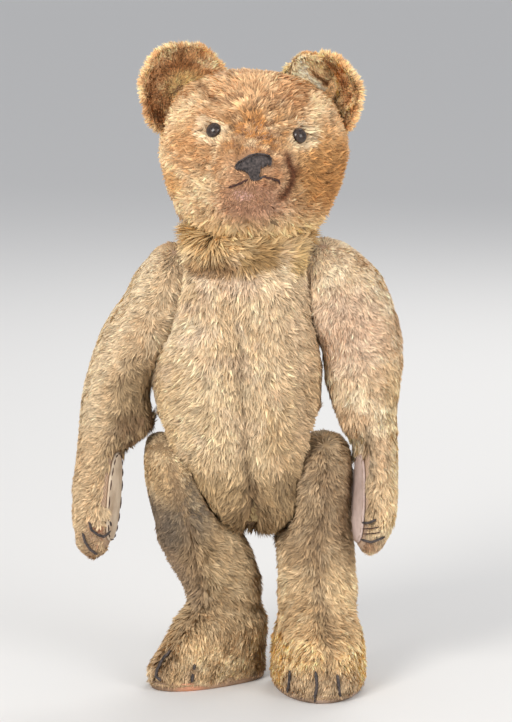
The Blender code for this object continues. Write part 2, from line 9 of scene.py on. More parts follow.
import bpy
import numpy as np
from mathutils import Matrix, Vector
from mathutils.bvhtree import BVHTree


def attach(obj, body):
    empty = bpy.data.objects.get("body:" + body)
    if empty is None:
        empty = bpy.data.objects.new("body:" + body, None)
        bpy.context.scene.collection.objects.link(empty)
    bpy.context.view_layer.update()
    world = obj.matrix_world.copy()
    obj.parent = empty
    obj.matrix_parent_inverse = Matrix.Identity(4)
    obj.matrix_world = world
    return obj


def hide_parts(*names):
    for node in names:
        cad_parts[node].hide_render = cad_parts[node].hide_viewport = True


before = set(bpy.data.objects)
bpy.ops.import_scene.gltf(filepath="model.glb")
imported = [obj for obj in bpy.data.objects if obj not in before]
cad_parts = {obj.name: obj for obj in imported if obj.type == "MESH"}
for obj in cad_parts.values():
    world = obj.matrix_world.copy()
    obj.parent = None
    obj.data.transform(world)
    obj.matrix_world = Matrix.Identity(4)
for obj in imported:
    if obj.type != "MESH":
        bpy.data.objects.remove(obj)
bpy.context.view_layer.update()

# ------------------------------------------------------------------ the place it is shown in
# A pale studio floor without an edge, one broad lamp high at the front left, a weaker one at the front
# right, and one behind the bear for the rim of its pile.

def placed(name, data):
    """A new object in the scene."""
    obj = bpy.data.objects.new(name, data)
    bpy.context.collection.objects.link(obj)
    return obj


def feed(node, inputs):
    """Sets a node's inputs: a socket is linked, anything else is a constant."""
    for label, value in inputs.items():
        if isinstance(value, bpy.types.NodeSocket):
            node.id_data.links.new(value, node.inputs[label])
        else:
            node.inputs[label].default_value = value


def surface(name, build):
    """A material whose shader gets the inputs that build makes in the material's tree."""
    mat = bpy.data.materials.new(name)
    mat.use_nodes = True
    feed(mat.node_tree.nodes["Principled BSDF"], build(mat.node_tree))
    return mat


FLOOR_HALF = 40
floor_mesh = bpy.data.meshes.new("studio_floor")
floor_corners = [(x * FLOOR_HALF, y * FLOOR_HALF, 0) for x, y in ((-1, -1), (1, -1), (1, 1), (-1, 1))]
floor_mesh.from_pydata(floor_corners, [], [(0, 1, 2, 3)])
studio_floor = placed("studio_floor", floor_mesh)
floor_mesh.materials.append(
    surface("pale_paper", lambda tree: {"Base Color": (0.74, 0.73, 0.71, 1), "Roughness": 0.9}))


def lamp(name, place, aim, size, watts, colour):
    light = bpy.data.lights.new(name, "AREA")
    light.shape, light.size, light.energy, light.color = "DISK", size, watts, colour
    obj = placed(name, light)
    obj.location = place
    obj.rotation_euler = (Vector(aim) - Vector(place)).to_track_quat("-Z", "Y").to_euler()


lamp("key_lamp", (-1.05, -1.55, 1.35), aim=(0, 0, 0.22), size=0.9, watts=31, colour=(1.0, 0.97, 0.93))
lamp("fill_lamp", (1.35, -1.25, 0.85), aim=(0, 0, 0.2), size=1.0, watts=13, colour=(1.0, 0.98, 0.96))
lamp("back_lamp", (0.5, 1.5, 1.5), aim=(0, 0, 0.2), size=1.1, watts=14, colour=(1.0, 0.99, 0.97))

world = bpy.data.worlds.new("soft_room")
world.use_nodes = True
feed(world.node_tree.nodes["Background"], {"Color": (0.93, 0.95, 1.0, 1), "Strength": 0.62})
bpy.context.scene.world = world
bpy.context.scene.view_settings.view_transform = "Standard"

CAMERA_DROP = math.radians(9)
CAMERA_AWAY = 1.9
CAMERA_AIM = Vector((0.011, 0.0208, 0.1976))
camera_data = bpy.data.cameras.new("camera")
camera_data.sensor_fit, camera_data.sensor_height, camera_data.lens = "VERTICAL", 36.0, 155.3
camera = placed("camera", camera_data)
camera.location = CAMERA_AIM + CAMERA_AWAY * Vector((0, -math.cos(CAMERA_DROP), math.sin(CAMERA_DROP)))
camera.rotation_euler = (math.pi / 2 - CAMERA_DROP, 0, 0)
bpy.context.scene.camera = camera


# ------------------------------------------------------------------ torso
# A tall pear of six sewn panels with a closing seam down the belly, stuffed hard with wood wool, so it is
# slightly lumpy. Pale beige pile, brushed down from the neck, with an ochre stain under the chin and a parting
# along the seam. Painted shade darkens the crotch, the lower belly and the bear's left side.

MM = 0.001
STANDS = np.array([2.0, 16.8, 0.0])  # the torso's own foot point in the frame, in millimetres


def metres(points):
    return (np.asarray(points, float) + STANDS) * MM


def dice(cells, seed):
    """One fixed number from 0 to 1 for each whole-numbered cell: its steps, times large primes, stirred."""
    c = np.asarray(cells).astype(np.int64)
    h = c[..., 0] * 73856093 ^ c[..., 1] * 19349663 ^ c[..., 2] * 83492791 ^ np.int64(seed * 49979687)
    h = (h ^ (h >> 15)) * 2246822519 & 0xFFFFFFFF
    h = (h ^ (h >> 13)) * 3266489917 & 0xFFFFFFFF
    return (h ^ (h >> 16)) / 4294967296.0


def patches(points, size, seed):
    """Soft patches, 0 to 1, each about size across."""
    spots = np.asarray(points) / size + 500  # clear of the seam at nought
    low = np.floor(spots)
    u = spots - low
    u = u * u * (3 - 2 * u)
    total = 0.0
    for corner in itertools.product((0, 1), repeat=3):
        share = np.prod(np.where(np.array(corner) == 1, u, 1 - u), axis=-1)
        total = total + share * dice(low + np.array(corner), seed)
    return total


def locks_of(points, size, seed):
    """The middle of the lock of pile that each root belongs to, and that lock's own number from 0 to 1."""
    cell = np.floor(points / size)
    nearest = np.full(len(points), np.inf)
    middle = np.zeros((len(points), 3))
    number = np.zeros(len(points))
    for step in itertools.product((-1, 0, 1), repeat=3):
        beside = cell + step
        spot = (beside + np.stack([dice(beside, seed + k) for k in (1, 2, 3)], -1)) * size
        away = ((points - spot) ** 2).sum(-1)
        closer = away < nearest
        nearest[closer] = away[closer]
        middle[closer] = spot[closer]
        number[closer] = dice(beside[closer], seed + 4)
    return middle, number


def rise(low, high, value):
    """0 below low, 1 above high, and an even turn between."""
    t = np.clip((value - low) / (high - low), 0, 1)
    return t * t * (3 - 2 * t)


def blotches(points, size, seed, low, high):
    """Patches with a firmer edge: 0 where they are below low, and 1 above high."""
    return rise(low, high, patches(points, size, seed))


def near(points, spot, reach, squeeze=(1, 1, 1)):
    """1 round the spot, fading to 0 at reach. squeeze above 1 makes it longer along an axis."""
    away = np.linalg.norm((points - np.array(spot)) / np.array(squeeze)[: len(spot)], axis=-1)
    return 1 - rise(0.35 * reach, reach, away)


def band(away, width):
    """1 on a line, fading with the distance from it."""
    return np.exp(-((away / width) ** 2))


def mixed(a, b, share):
    share = np.asarray(share)[..., None]
    return a * (1 - share) + b * share


def rgb(red, green, blue):
    return np.array([red, green, blue]) / 255.0


class Tone:
    """The colour of each strand: two tones in patches, then painted over coat by coat."""

    def __init__(self, one, other, share):
        self.now = mixed(one, other, share)

    def coat(self, red, green, blue, share):
        self.now = mixed(self.now, rgb(red, green, blue), share)


def rows_through(rows, count):
    """Rows read off a smooth curve through the given ones."""
    rows = np.asarray(rows, float)
    spots = np.linspace(0, len(rows) - 1, count)
    low = np.clip(spots.astype(int), 0, len(rows) - 2)
    u = (spots - low)[:, None]
    a, b, c = rows[np.maximum(low - 1, 0)], rows[low], rows[low + 1]
    d = rows[np.minimum(low + 2, len(rows) - 1)]
    return 0.5 * (2 * b + (c - a) * u + (2 * a - 5 * b + 4 * c - d) * u**2 + (3 * b - a - 3 * c + d) * u**3)


def standing_rings(rows, levels, around):
    """Level rings from rows of centre x, y, z, half width, half depth in front and behind, turn in degrees."""
    x, y, z, width, front, back, turn = (column[:, None] for column in rows_through(rows, levels).T)
    t = np.linspace(0, 2 * np.pi, around, endpoint=False)[None, :]
    across = np.maximum(width, 0) * np.cos(t)
    ahead = np.maximum(np.where(np.sin(t) > 0, front, back), 0) * np.sin(t)
    turn = np.radians(turn)
    c, s = np.cos(turn), np.sin(turn)
    return np.stack([x + across * c + ahead * s, y + across * s - ahead * c, z + 0 * t], -1)


def pressed(points, planes):
    """Points held behind each plane (point, outward normal, reach), as cloth drawn flat by a joint's discs.

    The cloth is let go gradually beyond the reach."""
    points = points.copy()
    for spot, normal, reach in planes:
        spot, normal = np.array(spot, float), np.array(normal, float)
        over = (points - spot) @ normal + 0.15
        flat = points - spot - ((points - spot) @ normal)[..., None] * normal
        held = np.maximum(over, 0) * (1 - rise(reach, reach + 11, np.linalg.norm(flat, axis=-1)))
        points -= normal * held[..., None]
    return points


def side_axis(sign, rise_deg):
    """A shoulder's or hip's outward axis, tilted up from level."""
    return np.array([sign * math.cos(math.radians(rise_deg)), 0.0, math.sin(math.radians(rise_deg))])


JOINTS = {
    "neck": ((5.0, 0.0, 279.0), (0.0, 0.0, 1.0)),
    "shoulder_left": ((40.3, 0.0, 246.0), side_axis(1, 8)),
    "shoulder_right": ((-35.6, 0.0, 246.0), side_axis(-1, 12)),
    "hip_left": ((36.0, 0.0, 127.0), side_axis(1, -5)),
    "hip_right": ((-27.5, 0.0, 127.0), side_axis(-1, -25)),
}


def skin_mesh(name, rings):
    """A closed cloth of rings, whose first and last have closed to a point, with its girth and run as a map."""
    levels, around = rings.shape[:2]
    points = np.concatenate([rings[:1, 0], rings[1:-1].reshape(-1, 3), rings[-1:, 0]])
    last = len(points) - 1
    spot = lambda i, j: 1 + (i - 1) * around + j % around
    girth = np.linalg.norm(np.roll(rings, -1, 1) - rings, axis=-1).sum(1).max()
    run = np.concatenate([[0], np.cumsum(np.linalg.norm(np.diff(rings, axis=0), axis=-1).mean(1))])
    faces, corners = [], []
    for j in range(around):
        faces.append((0, spot(1, j), spot(1, j + 1)))
        corners += [(j + 0.5, 0), (j, 1), (j + 1, 1)]
    for i in range(1, levels - 2):
        for j in range(around):
            faces.append((spot(i, j), spot(i + 1, j), spot(i + 1, j + 1), spot(i, j + 1)))
            corners += [(j, i), (j, i + 1), (j + 1, i + 1), (j + 1, i)]
    for j in range(around):
        faces.append((last, spot(levels - 2, j + 1), spot(levels - 2, j)))
        corners += [(j + 0.5, levels - 1), (j + 1, levels - 2), (j, levels - 2)]
    mesh = bpy.data.meshes.new(name)
    mesh.from_pydata(metres(points).tolist(), [], faces)
    corners = np.array(corners, float)
    weave = mesh.uv_layers.new(name="Cloth")
    weave.data.foreach_set(
        "uv", (np.stack([corners[:, 0] / around * girth, run[corners[:, 1].astype(int)]], -1) * MM).ravel()
    )
    obj = placed(name, mesh)
    mesh.shade_smooth()
    centre = points.mean(0)
    volume = sum(
        np.dot(points[f[0]] - centre, np.cross(points[f[1]] - centre, points[f[2]] - centre)) for f in faces
    )
    if volume < 0:
        mesh.flip_normals()
    return obj


def points_of(obj):
    """A mesh's points and outward normals, in the bear's millimetres."""
    mesh = obj.data
    points = np.empty(len(mesh.vertices) * 3)
    normals = np.empty(len(mesh.vertices) * 3)
    mesh.vertices.foreach_get("co", points)
    mesh.vertices.foreach_get("normal", normals)
    return points.reshape(-1, 3) / MM - STANDS, normals.reshape(-1, 3)


def move_points(obj, points):
    obj.data.vertices.foreach_set("co", metres(points).ravel())
    obj.data.update()


def from_plane(points, spot, normal):
    """How far points are behind a plane, and how far they are from the spot on it."""
    spot = np.array(spot)
    return -((points - spot) @ np.array(normal)), np.linalg.norm(points - spot, axis=-1)


def stuffed(obj, seed, planes, lump, seam=None):
    """Lumps the cloth over its filling, and draws it in along a seam; seam gives the distance from it."""
    points, normals = points_of(obj)
    held = np.ones(len(points))
    for spot, normal, reach in planes:
        gap, away = from_plane(points, spot, normal)
        held = np.minimum(held, np.where(away < reach + 6, rise(0.3, 5, gap), 1))
    swell = lump * (patches(points, 24, seed) - 0.5) * 2 + 0.4 * lump * (patches(points, 9, seed + 9) - 0.5) * 2
    if seam is not None:
        swell -= 1.3 * band(seam(points), 2.2)
    move_points(obj, points + normals * (swell * held)[:, None])


def scattered(skin, count, rng, cover):
    """Roots spread over the cloth, as thick as cover says, with the normals there."""
    points, normals = points_of(skin)
    mesh = skin.data
    mesh.calc_loop_triangles()
    tri = np.empty(len(mesh.loop_triangles) * 3, np.int32)
    mesh.loop_triangles.foreach_get("vertices", tri)
    tri = tri.reshape(-1, 3)
    a, b, c = points[tri[:, 0]], points[tri[:, 1]], points[tri[:, 2]]
    middle = (a + b + c) / 3
    facing = normals[tri].mean(1)
    weight = np.linalg.norm(np.cross(b - a, c - a), axis=1) * np.clip(cover(middle, facing), 0, None)
    total = np.cumsum(weight)
    picks = np.searchsorted(total, (np.arange(count) + rng.random(count)) / count * total[-1])
    picks = np.minimum(picks, len(tri) - 1)
    r1, r2 = np.sqrt(rng.random(count)), rng.random(count)
    share = np.stack([1 - r1, r1 * (1 - r2), r1 * r2], -1)[..., None]
    corners = tri[picks]
    roots = (points[corners] * share).sum(1)
    across = (normals[corners] * share).sum(1)
    return roots, across / np.linalg.norm(across, axis=1, keepdims=True)


def linear(colour):
    """Screen colour values as the amounts of light that they stand for."""
    colour = np.clip(colour, 0, 1)
    return np.where(colour <= 0.04045, colour / 12.92, ((colour + 0.055) / 1.055) ** 2.4)


def unit(vectors):
    return vectors / np.maximum(np.linalg.norm(vectors, axis=-1, keepdims=True), 1e-9)


def into_rows(roots, out, along, gap, share):
    """Roots drawn towards the woven rows that cross along, gap apart, which short worn pile shows as ribs."""
    along = along - out * (along * out).sum(-1, keepdims=True)
    run = (roots * along).sum(-1)
    wander = 1.3 * (patches(roots, 14, 19) - 0.5) * gap
    step = (np.round((run + wander) / gap) * gap - run - wander) * share
    return roots + along * step[:, None]


def strand_map(mesh, roots, corners, side):
    """Each strand has a place of its own in the map, beside its neighbours'."""
    width = math.ceil(math.sqrt(len(roots)))
    rank = np.empty(len(roots))
    by_height = np.argsort(roots[:, 2], kind="stable")
    angle = np.arctan2(roots[:, 1] - roots[:, 1].mean(), roots[:, 0] - roots[:, 0].mean())
    for start in range(0, len(roots), width):
        level = by_height[start : start + width]
        rank[level[np.argsort(angle[level], kind="stable")]] = start + np.arange(len(level))
    cell = np.stack([rank % width, rank // width], -1) / width
    place = np.array([(0.1, 0.1), (0.9, 0.1), (0.9, 0.5), (0.5, 0.9)])[corners]
    place[..., 0] = np.where((corners == 2) & (side < 0), 0.1, place[..., 0])
    mesh.uv_layers.new(name="OFBake").data.foreach_set("uv", (cell[:, None, :] + place / width).ravel())


STRAND_WIDTH = 0.24
LOCK_PULL = 0.35  # how far a strand leans to the middle of its lock
TRESS = 7.0  # strands this close sway together


def pile(name, skin, body, count, seed, *, cover, lie, length, colour, stand=17.0, lock=1.3,
         grain=(1, 1, 1), sway=15.0, stray=9.0, curl=20.0, tuft=0.12, ribs=None):
    """Strands of pile rooted in the cloth: thin bent blades, drawn to the middles of small locks.

    cover, lie, length and colour take the roots and their normals: how thick the pile still is, which way it
    is brushed, how long it is, and its colour. stand, sway, stray and curl are angles in degrees. ribs gives
    the rows' direction, gap and strength. grain shortens the locks along an axis above 1 and lengthens them
    below it, and tuft is how much their tone varies."""
    rng = np.random.default_rng(seed)
    roots, out = scattered(skin, count, rng, cover)
    if ribs is not None:
        roots = into_rows(roots, out, *ribs)
    brushed = lie(roots, out)
    brushed = unit(brushed - out * (brushed * out).sum(-1, keepdims=True))
    middle, number = locks_of(roots * grain, lock, seed)
    middle = middle / grain
    _, wave = locks_of(roots, TRESS, seed + 20)
    yaw = np.radians((wave - 0.5) * 2 * sway + (number - 0.5) * 2 * stray + rng.normal(0, 0.6 * stray, count))
    shared_curl = 2 * dice(np.floor(roots / (2.2 * lock)), seed + 8) - 1
    bend = np.radians(curl * shared_curl + rng.normal(0, 0.4 * curl, count))
    sideways = np.cross(out, brushed)
    tall = length(roots, out) * (0.75 + 0.45 * rng.random(count)) * (0.92 + 0.16 * number)
    lift = np.radians(stand * (0.6 + 0.8 * rng.random(count)))

    def heading(turn, up):
        flat = brushed * np.cos(turn)[:, None] + sideways * np.sin(turn)[:, None]
        return flat * np.cos(up)[:, None] + out * np.sin(up)[:, None]

    first, second = heading(yaw + bend, lift), heading(yaw - bend, lift * 0.6)
    pull = middle - roots
    pull = (pull - out * (pull * out).sum(-1, keepdims=True)) * LOCK_PULL
    foot = roots - out * 0.4
    knee = roots + first * (0.5 * tall)[:, None] + pull * 0.35
    tip = knee + second * (0.5 * tall)[:, None] + pull * 0.65
    twist = rng.uniform(-0.7, 0.7, count)
    blade = unit(np.cross(first, out))
    blade = blade * np.cos(twist)[:, None] + np.cross(first, blade) * np.sin(twist)[:, None]
    half = 0.5 * STRAND_WIDTH * rng.uniform(0.7, 1.35, count)[:, None]
    # The knee stands on the outer side of the bend, so that a blade never crosses itself.
    side = np.where(((tip - knee) * blade).sum(-1) > ((knee - foot) * blade).sum(-1), -1.0, 1.0)[:, None]
    spots = np.stack([foot - blade * half, foot + blade * half, knee + blade * half * side, tip], 1)
    corners = np.where(side < 0, np.array([[0, 1, 3, 2]]), np.array([[0, 1, 2, 3]]))
    mesh = bpy.data.meshes.new(name)
    mesh.vertices.add(4 * count)
    mesh.vertices.foreach_set("co", metres(spots.reshape(-1, 3)).ravel())
    mesh.loops.add(4 * count)
    mesh.loops.foreach_set("vertex_index", (4 * np.arange(count)[:, None] + corners).ravel())
    mesh.polygons.add(count)
    mesh.polygons.foreach_set("loop_start", np.arange(0, 4 * count, 4))
    mesh.update(calc_edges=True)
    mesh.shade_smooth()
    face = unit(np.cross(blade, tip - foot))
    soft = unit(face * 0.55 + out * 0.45)  # lit partly as the cloth is, so that the pile is not all glints
    mesh.normals_split_custom_set_from_vertices(np.repeat(soft, 4, axis=0))
    tone = colour(roots, out, rng) * (1 + 0.10 * rng.normal(0, 1, count) + tuft * (number - 0.5))[:, None]
    shade = np.array([0.84, 0.84, 0.99, 1.07])[None, :, None]  # darker at the foot as painted shade deep in the pile, paler at the tip as a painted highlight
    rgba = np.ones((count, 4, 4), np.float32)
    rgba[..., :3] = linear(tone[:, None, :] * shade)
    mesh.color_attributes.new("pile", "FLOAT_COLOR", "POINT").data.foreach_set("color", rgba.ravel())
    strand_map(mesh, roots, corners, side)
    obj = placed(name, mesh)
    mesh.materials.append(MOHAIR)
    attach(obj, body)


def make(tree, kind, inputs=None, **settings):
    """A new shader node with its settings and inputs."""
    node = tree.nodes.new("ShaderNode" + kind)
    for label, value in settings.items():
        setattr(node, label, value)
    feed(node, inputs or {})
    return node


def paint(colour):
    return (*linear(np.array(colour)), 1)


def noise(tree, scale, detail=2.0):
    place = make(tree, "TexCoord").outputs["Object"]
    return make(tree, "TexNoise", {"Vector": place, "Scale": scale, "Detail": detail}).outputs["Fac"]


def ranged(tree, value, low, high, to_low=0.0, to_high=1.0):
    ends = {"From Min": low, "From Max": high, "To Min": to_low, "To Max": to_high}
    return make(tree, "MapRange", {"Value": value, **ends}).outputs["Result"]


def blended(tree, share, a, b, how="MIX"):
    both = {"Factor": share, "A": a, "B": b}
    return make(tree, "Mix", both, data_type="RGBA", blend_type=how).outputs["Result"]


def bump(tree, height, distance, strength=1.0):
    return make(tree, "Bump", {"Height": height, "Distance": distance, "Strength": strength}).outputs["Normal"]


def mohair_pile(tree):
    """Lustrous goat hair: its own colours, a soft gloss along the strands, dust in patches, and back faces
    painted brighter.
    """
    strand = make(tree, "Attribute", attribute_name="pile").outputs["Color"]
    dusty = blended(tree, 1.0, strand, ranged(tree, noise(tree, 260), 0, 1, 0.93, 1.06), "MULTIPLY")
    # Back faces are painted brighter, as painted light that stands in for light shining through a real hair, so
    # the side of a blade that is turned from the light is not left black.
    behind = make(tree, "NewGeometry").outputs["Backfacing"]
    lit = blended(tree, behind, dusty, (1.7, 1.75, 1.8, 1), "MULTIPLY")
    return {"Base Color": lit, "Roughness": 0.62, "Specular IOR Level": 0.22}


MOHAIR = surface("mohair_pile", mohair_pile)


def effect(name, takes):
    """A node group that gives a colour and a height, and what it takes: colours and numbers, by name."""
    group = bpy.data.node_groups.new(name, "ShaderNodeTree")
    for label, value in takes.items():
        kind = "NodeSocketColor" if isinstance(value, tuple) else "NodeSocketFloat"
        group.interface.new_socket(name=label, in_out="INPUT", socket_type=kind).default_value = value
    group.interface.new_socket(name="Colour", in_out="OUTPUT", socket_type="NodeSocketColor")
    group.interface.new_socket(name="Height", in_out="OUTPUT", socket_type="NodeSocketFloat")
    return group, group.nodes.new("NodeGroupInput").outputs


def woven_backing_group():
    """Plain weave: threads over and under, slubs, thin places and grime."""
    group, given = effect("woven_backing", {
        "Threads per metre": 900.0,
        "Thread": (0.5, 0.35, 0.25, 1),
        "Between threads": (0.2, 0.13, 0.09, 1),
        "Grime": (0.12, 0.09, 0.07, 1),
        "Grime amount": 0.3,
    })

    def maths(operation, *values):
        return make(group, "Math", dict(enumerate(values)), operation=operation).outputs["Value"]

    cloth = make(group, "UVMap", uv_map="Cloth").outputs["UV"]
    wobble = make(group, "TexNoise", {"Vector": cloth, "Scale": 700}).outputs["Color"]
    moved = make(group, "VectorMath", {0: wobble, 1: (0.0006, 0.0006, 0), 2: cloth}, operation="MULTIPLY_ADD")
    parts = make(group, "SeparateXYZ", {"Vector": moved.outputs["Vector"]}).outputs
    waves = []
    for axis in ("X", "Y"):
        turns = maths("MULTIPLY", parts[axis], given["Threads per metre"])
        waves.append(maths("SINE", maths("MULTIPLY", turns, math.pi)))
    height = ranged(group, maths("MULTIPLY", *waves), -1, 1)
    colour = blended(group, height, given["Between threads"], given["Thread"])
    amount = maths("MULTIPLY", ranged(group, noise(group, 55, 5), 0.45, 0.75), given["Grime amount"])
    gives = group.nodes.new("NodeGroupOutput")
    feed(gives, {"Colour": blended(group, amount, colour, given["Grime"]), "Height": height})
    return group


WEAVE = woven_backing_group()


def backing(name, thread, between, grime, grime_amount=0.4):
    """The cloth that the pile is woven into, in this piece's colours."""
    looks = {"Thread": paint(thread), "Between threads": paint(between), "Grime": paint(grime),
             "Grime amount": grime_amount}

    def build(tree):
        weave = make(tree, "Group", looks, node_tree=WEAVE).outputs
        return {"Base Color": weave["Colour"], "Normal": bump(tree, weave["Height"], 0.0004, 0.8),
                "Roughness": 0.9, "Specular IOR Level": 0.15}

    return surface(name, build)


# Rows of centre x, y, z, half width, half depth in front and behind, and turn, here and for each limb.
TORSO = [
    (4, 0, 285, 0, 0, 0, 0),
    (5, 0, 281, 31, 26, 26, 0),
    (4.5, 0, 272, 39.5, 32, 33, 0),
    (2.5, 0, 260, 42, 34, 36, 0),
    (1.5, 0, 244, 43.5, 37, 39, 0),
    (0, 0, 226, 44.5, 37, 41, 0),
    (-2, 0, 205, 48.5, 41, 41, 0),
    (-3, 0, 180, 49.5, 44, 40, 0),
    (-1.5, 0, 160, 46.5, 43, 38, 0),
    (2, 0, 143, 42, 39, 35, 0),
    (4, 0, 127, 36, 33, 31, 0),
    (7, 0, 112, 31, 28, 27, 0),
    (8, 0, 100, 18, 18, 18, 0),
    (8, 0, 95, 0, 0, 0, 0),
]
torso_planes = [(JOINTS["neck"][0], JOINTS["neck"][1], 60.0)]
torso_planes += [(point, axis, 36.0) for name, (point, axis) in JOINTS.items() if name != "neck"]


def belly_seam(points):
    """How far a point is from the seam down the belly, which wanders a little; there is none behind."""
    x = -4.5 + 10.5 * rise(260, 105, points[:, 2]) + 1.2 * np.sin(points[:, 2] / 15.0)
    return np.where(points[:, 1] < 0, np.abs(points[:, 0] - x), 50)


torso_skin = skin_mesh("torso_backing", pressed(standing_rings(TORSO, levels=70, around=96), torso_planes))
stuffed(torso_skin, 3, torso_planes, lump=1.4, seam=belly_seam)
points, normals = points_of(torso_skin)
fold = band(belly_seam(points), 5.0) * rise(134, 104, points[:, 2])
move_points(torso_skin, points - normals * (5.0 * fold)[:, None])
beige_backing = backing("beige_backing", rgb(206, 176, 144), rgb(160, 128, 98), rgb(126, 104, 82))
torso_skin.data.materials.append(beige_backing)
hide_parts("torso_cover")
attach(torso_skin, "torso")


def away_from_planes(points, planes):
    """0 where the cloth lies against its neighbour at a joint, so that no pile shows there, and 1 elsewhere."""
    clear = np.ones(len(points))
    for spot, normal, reach in planes:
        gap, away = from_plane(points, spot, normal)
        clear = np.minimum(clear, np.where(away < reach, rise(0.5, 3.0, gap), 1))
    return clear


def room_beside(points, planes, reach):
    """How long pile may be near a joint before it would go into the limb beside it."""
    room = np.full(len(points), 50.0)
    for spot, normal, _ in planes:
        gap, away = from_plane(points, spot, normal)
        room = np.where(away < reach, np.minimum(room, 2.6 + 1.1 * np.maximum(gap, 0)), room)
    return room


def patchy(points, size, seed):
    """Pile that is up to a quarter thinner in patches."""
    return 0.75 + 0.25 * blotches(points, size, seed, 0.3, 0.6)


def to_front(out, more):
    """Denser pile on the side that faces forwards."""
    return 1 + more * rise(0.0, -0.5, out[:, 1])


def torso_cover(points, out):
    thin = 1 - 0.8 * band(belly_seam(points), 1.3) * rise(108, 124, points[:, 2]) * rise(250, 234, points[:, 2])
    thin = thin * patchy(points, 13, 41) * to_front(out, 0.45)
    return thin * away_from_planes(points, [(spot, normal, 26.0) for spot, normal, _ in torso_planes])


def torso_lie(points, out):
    x = points[:, 0] - (1.0 - 0.03 * (points[:, 2] - 180))
    z = points[:, 2]
    whirl = patches(points, 16, 77) - 0.5
    spread = 2.3 * rise(10, 38, np.abs(x)) * (1 - 0.62 * rise(165, 130, z)) * (1 - 0.35 * rise(215, 240, z))
    spread = spread + 0.7 * rise(1, 5, np.abs(x)) * rise(15, 8, np.abs(x)) * rise(150, 125, z)
    neck = rise(240, 262, z)
    sideways = np.sign(x) * spread * (1 - neck) + 1.5 * neck * np.tanh((x + 9) / 16)
    sideways = (sideways + (0.5 + 2.2 * neck) * whirl) * np.where(points[:, 1] < 0, 1, 0.35)
    down = -1 + 0.55 * neck + 1.3 * rise(265, 275, z) * rise(-8, 8, x)
    return np.stack([sideways, 0.3 * out[:, 1], down + 0 * z], -1)


def torso_length(points, out):
    z = points[:, 2]
    tall = 8.6 + rise(170, 135, z) + 4.4 * rise(256, 272, z) - 1.6 * blotches(points, 18, 12, 0.6, 0.75)
    tall = tall - 2.4 * near(points, (-1, -36, 254), 15, (1.3, 1, 0.6))
    rubbed = rise(40, 47, np.abs(points[:, 0] + 2)) * rise(245, 225, z) * rise(150, 165, z)
    return np.minimum(tall - 2.8 * rubbed, room_beside(points, torso_planes[1:], 34))


def torso_colour(points, out, rng):
    x, z = points[:, 0], points[:, 2]
    tone = Tone(rgb(218, 194, 160), rgb(202, 174, 136), blotches(points, 22, 5, 0.38, 0.72))
    tone.coat(234, 216, 186, 0.45 * blotches(points * (1.6, 1.6, 0.6), 6, 6, 0.5, 0.75))
    tone.coat(206, 182, 158, 0.5 * blotches(points, 10, 7, 0.55, 0.8))
    tone.coat(196, 168, 122, 0.3 * rise(235, 170, z) + 0.2 * rise(150, 125, z))
    # Painted shade: the bear's left side of the body darker, below the shoulder.
    tone.coat(180, 150, 114, 0.55 * rise(10, 36, x) * rise(262, 244, z))
    front = rise(5, -10, points[:, 1])
    flat = points[:, [0, 2]]
    stain = front * band(z - 267 - 0.06 * x, 7.0) * np.exp(-(((x - 2) / 30) ** 4))
    tone.coat(168, 136, 86, 0.8 * stain * blotches(points, 9, 8, 0.2, 0.6))
    tone.coat(128, 94, 60, 0.7 * front * near(flat, (-16, 263.5), 13, (1.3, 0.6)))
    tone.coat(146, 112, 70, 0.55 * front * near(flat, (8, 267), 11, (1.3, 0.7)))
    tone.coat(188, 156, 98, 0.6 * front * near(flat, (31, 264), 12, (1, 0.9)))
    tone.coat(198, 166, 114, 0.7 * front * rise(268, 276, z))
    tone.coat(206, 176, 154, 0.4 * front * near(flat, (-2, 253), 12, (1.5, 0.8)))
    # Painted shade: the crotch darker grey-brown, deepest along its middle, and a dark spot where the left
    # thigh meets the body.
    crotch = rise(137, 108, z) * front * near(flat, (8, 110), 38)
    tone.coat(104, 82, 62, 0.85 * crotch * rise(26, 4, np.abs(x - 8)))
    tone.coat(96, 82, 66, 0.6 * front * near(flat, (25, 126), 12, (0.8, 1.2)))
    # Painted shade: the lower belly darker towards the legs.
    tone.coat(166, 138, 100, 0.75 * rise(158, 120, z))
    seam = band(belly_seam(points), 3.0) * rise(240, 225, z)
    tone.coat(112, 88, 62, (0.4 + 0.45 * rise(152, 122, z)) * seam)
    return tone.now


pile("torso_pile", torso_skin, "torso", count=94000, seed=11,
     cover=torso_cover, lie=torso_lie, length=torso_length, colour=torso_colour,
     grain=(1.2, 1.2, 0.4), tuft=0.16)


# ------------------------------------------------------------------ head
# Two side panels and a gusset from nose to nape, in a golden pile that has kept its colour better than the
# body's. The brow and bridge are rubbed to short orange-brown stubs and the chin is nearly bare.

HEAD_X = 5.0
HEAD_ROLL = math.radians(3.6)
CROWN = 0.83  # below 1, the top of the head is squarer than an ellipse
# Rows from nose to nape: y, the middle's height, half width, rise above the middle, drop below it.
HEAD = [
    (-78, 321, 0, 0, 0),
    (-76, 321, 9, 8.5, 8),
    (-71, 320.5, 15.5, 14, 14),
    (-63, 320, 20.5, 19, 20),
    (-55, 320.5, 25.5, 24.5, 25),
    (-47, 322, 32, 31.5, 30),
    (-38, 324, 39.5, 37.5, 37),
    (-26, 327, 47.5, 42, 49),
    (-12, 328, 51, 44, 54),
    (4, 328, 52, 44, 58),
    (20, 327, 48, 41, 54),
    (33, 325, 36, 33, 42),
    (42, 324, 21, 20, 24),
    (46, 324, 0, 0, 0),
]
NECK = np.array(JOINTS["neck"][0])
head_planes = [(NECK, (0.0, 0.0, -1.0), 1000.0)]
EYES = {"left": (33.4, 339.2), "right": (-15.0, 342.2)}
NOSE = (8.0, 324.5)


def rolled(points, roll=HEAD_ROLL):
    """Points turned with the head, which leans a little to its left."""
    c, s = math.cos(roll), math.sin(roll)
    return (points - NECK) @ np.array([[c, 0, s], [0, 1, 0], [-s, 0, c]]).T + NECK


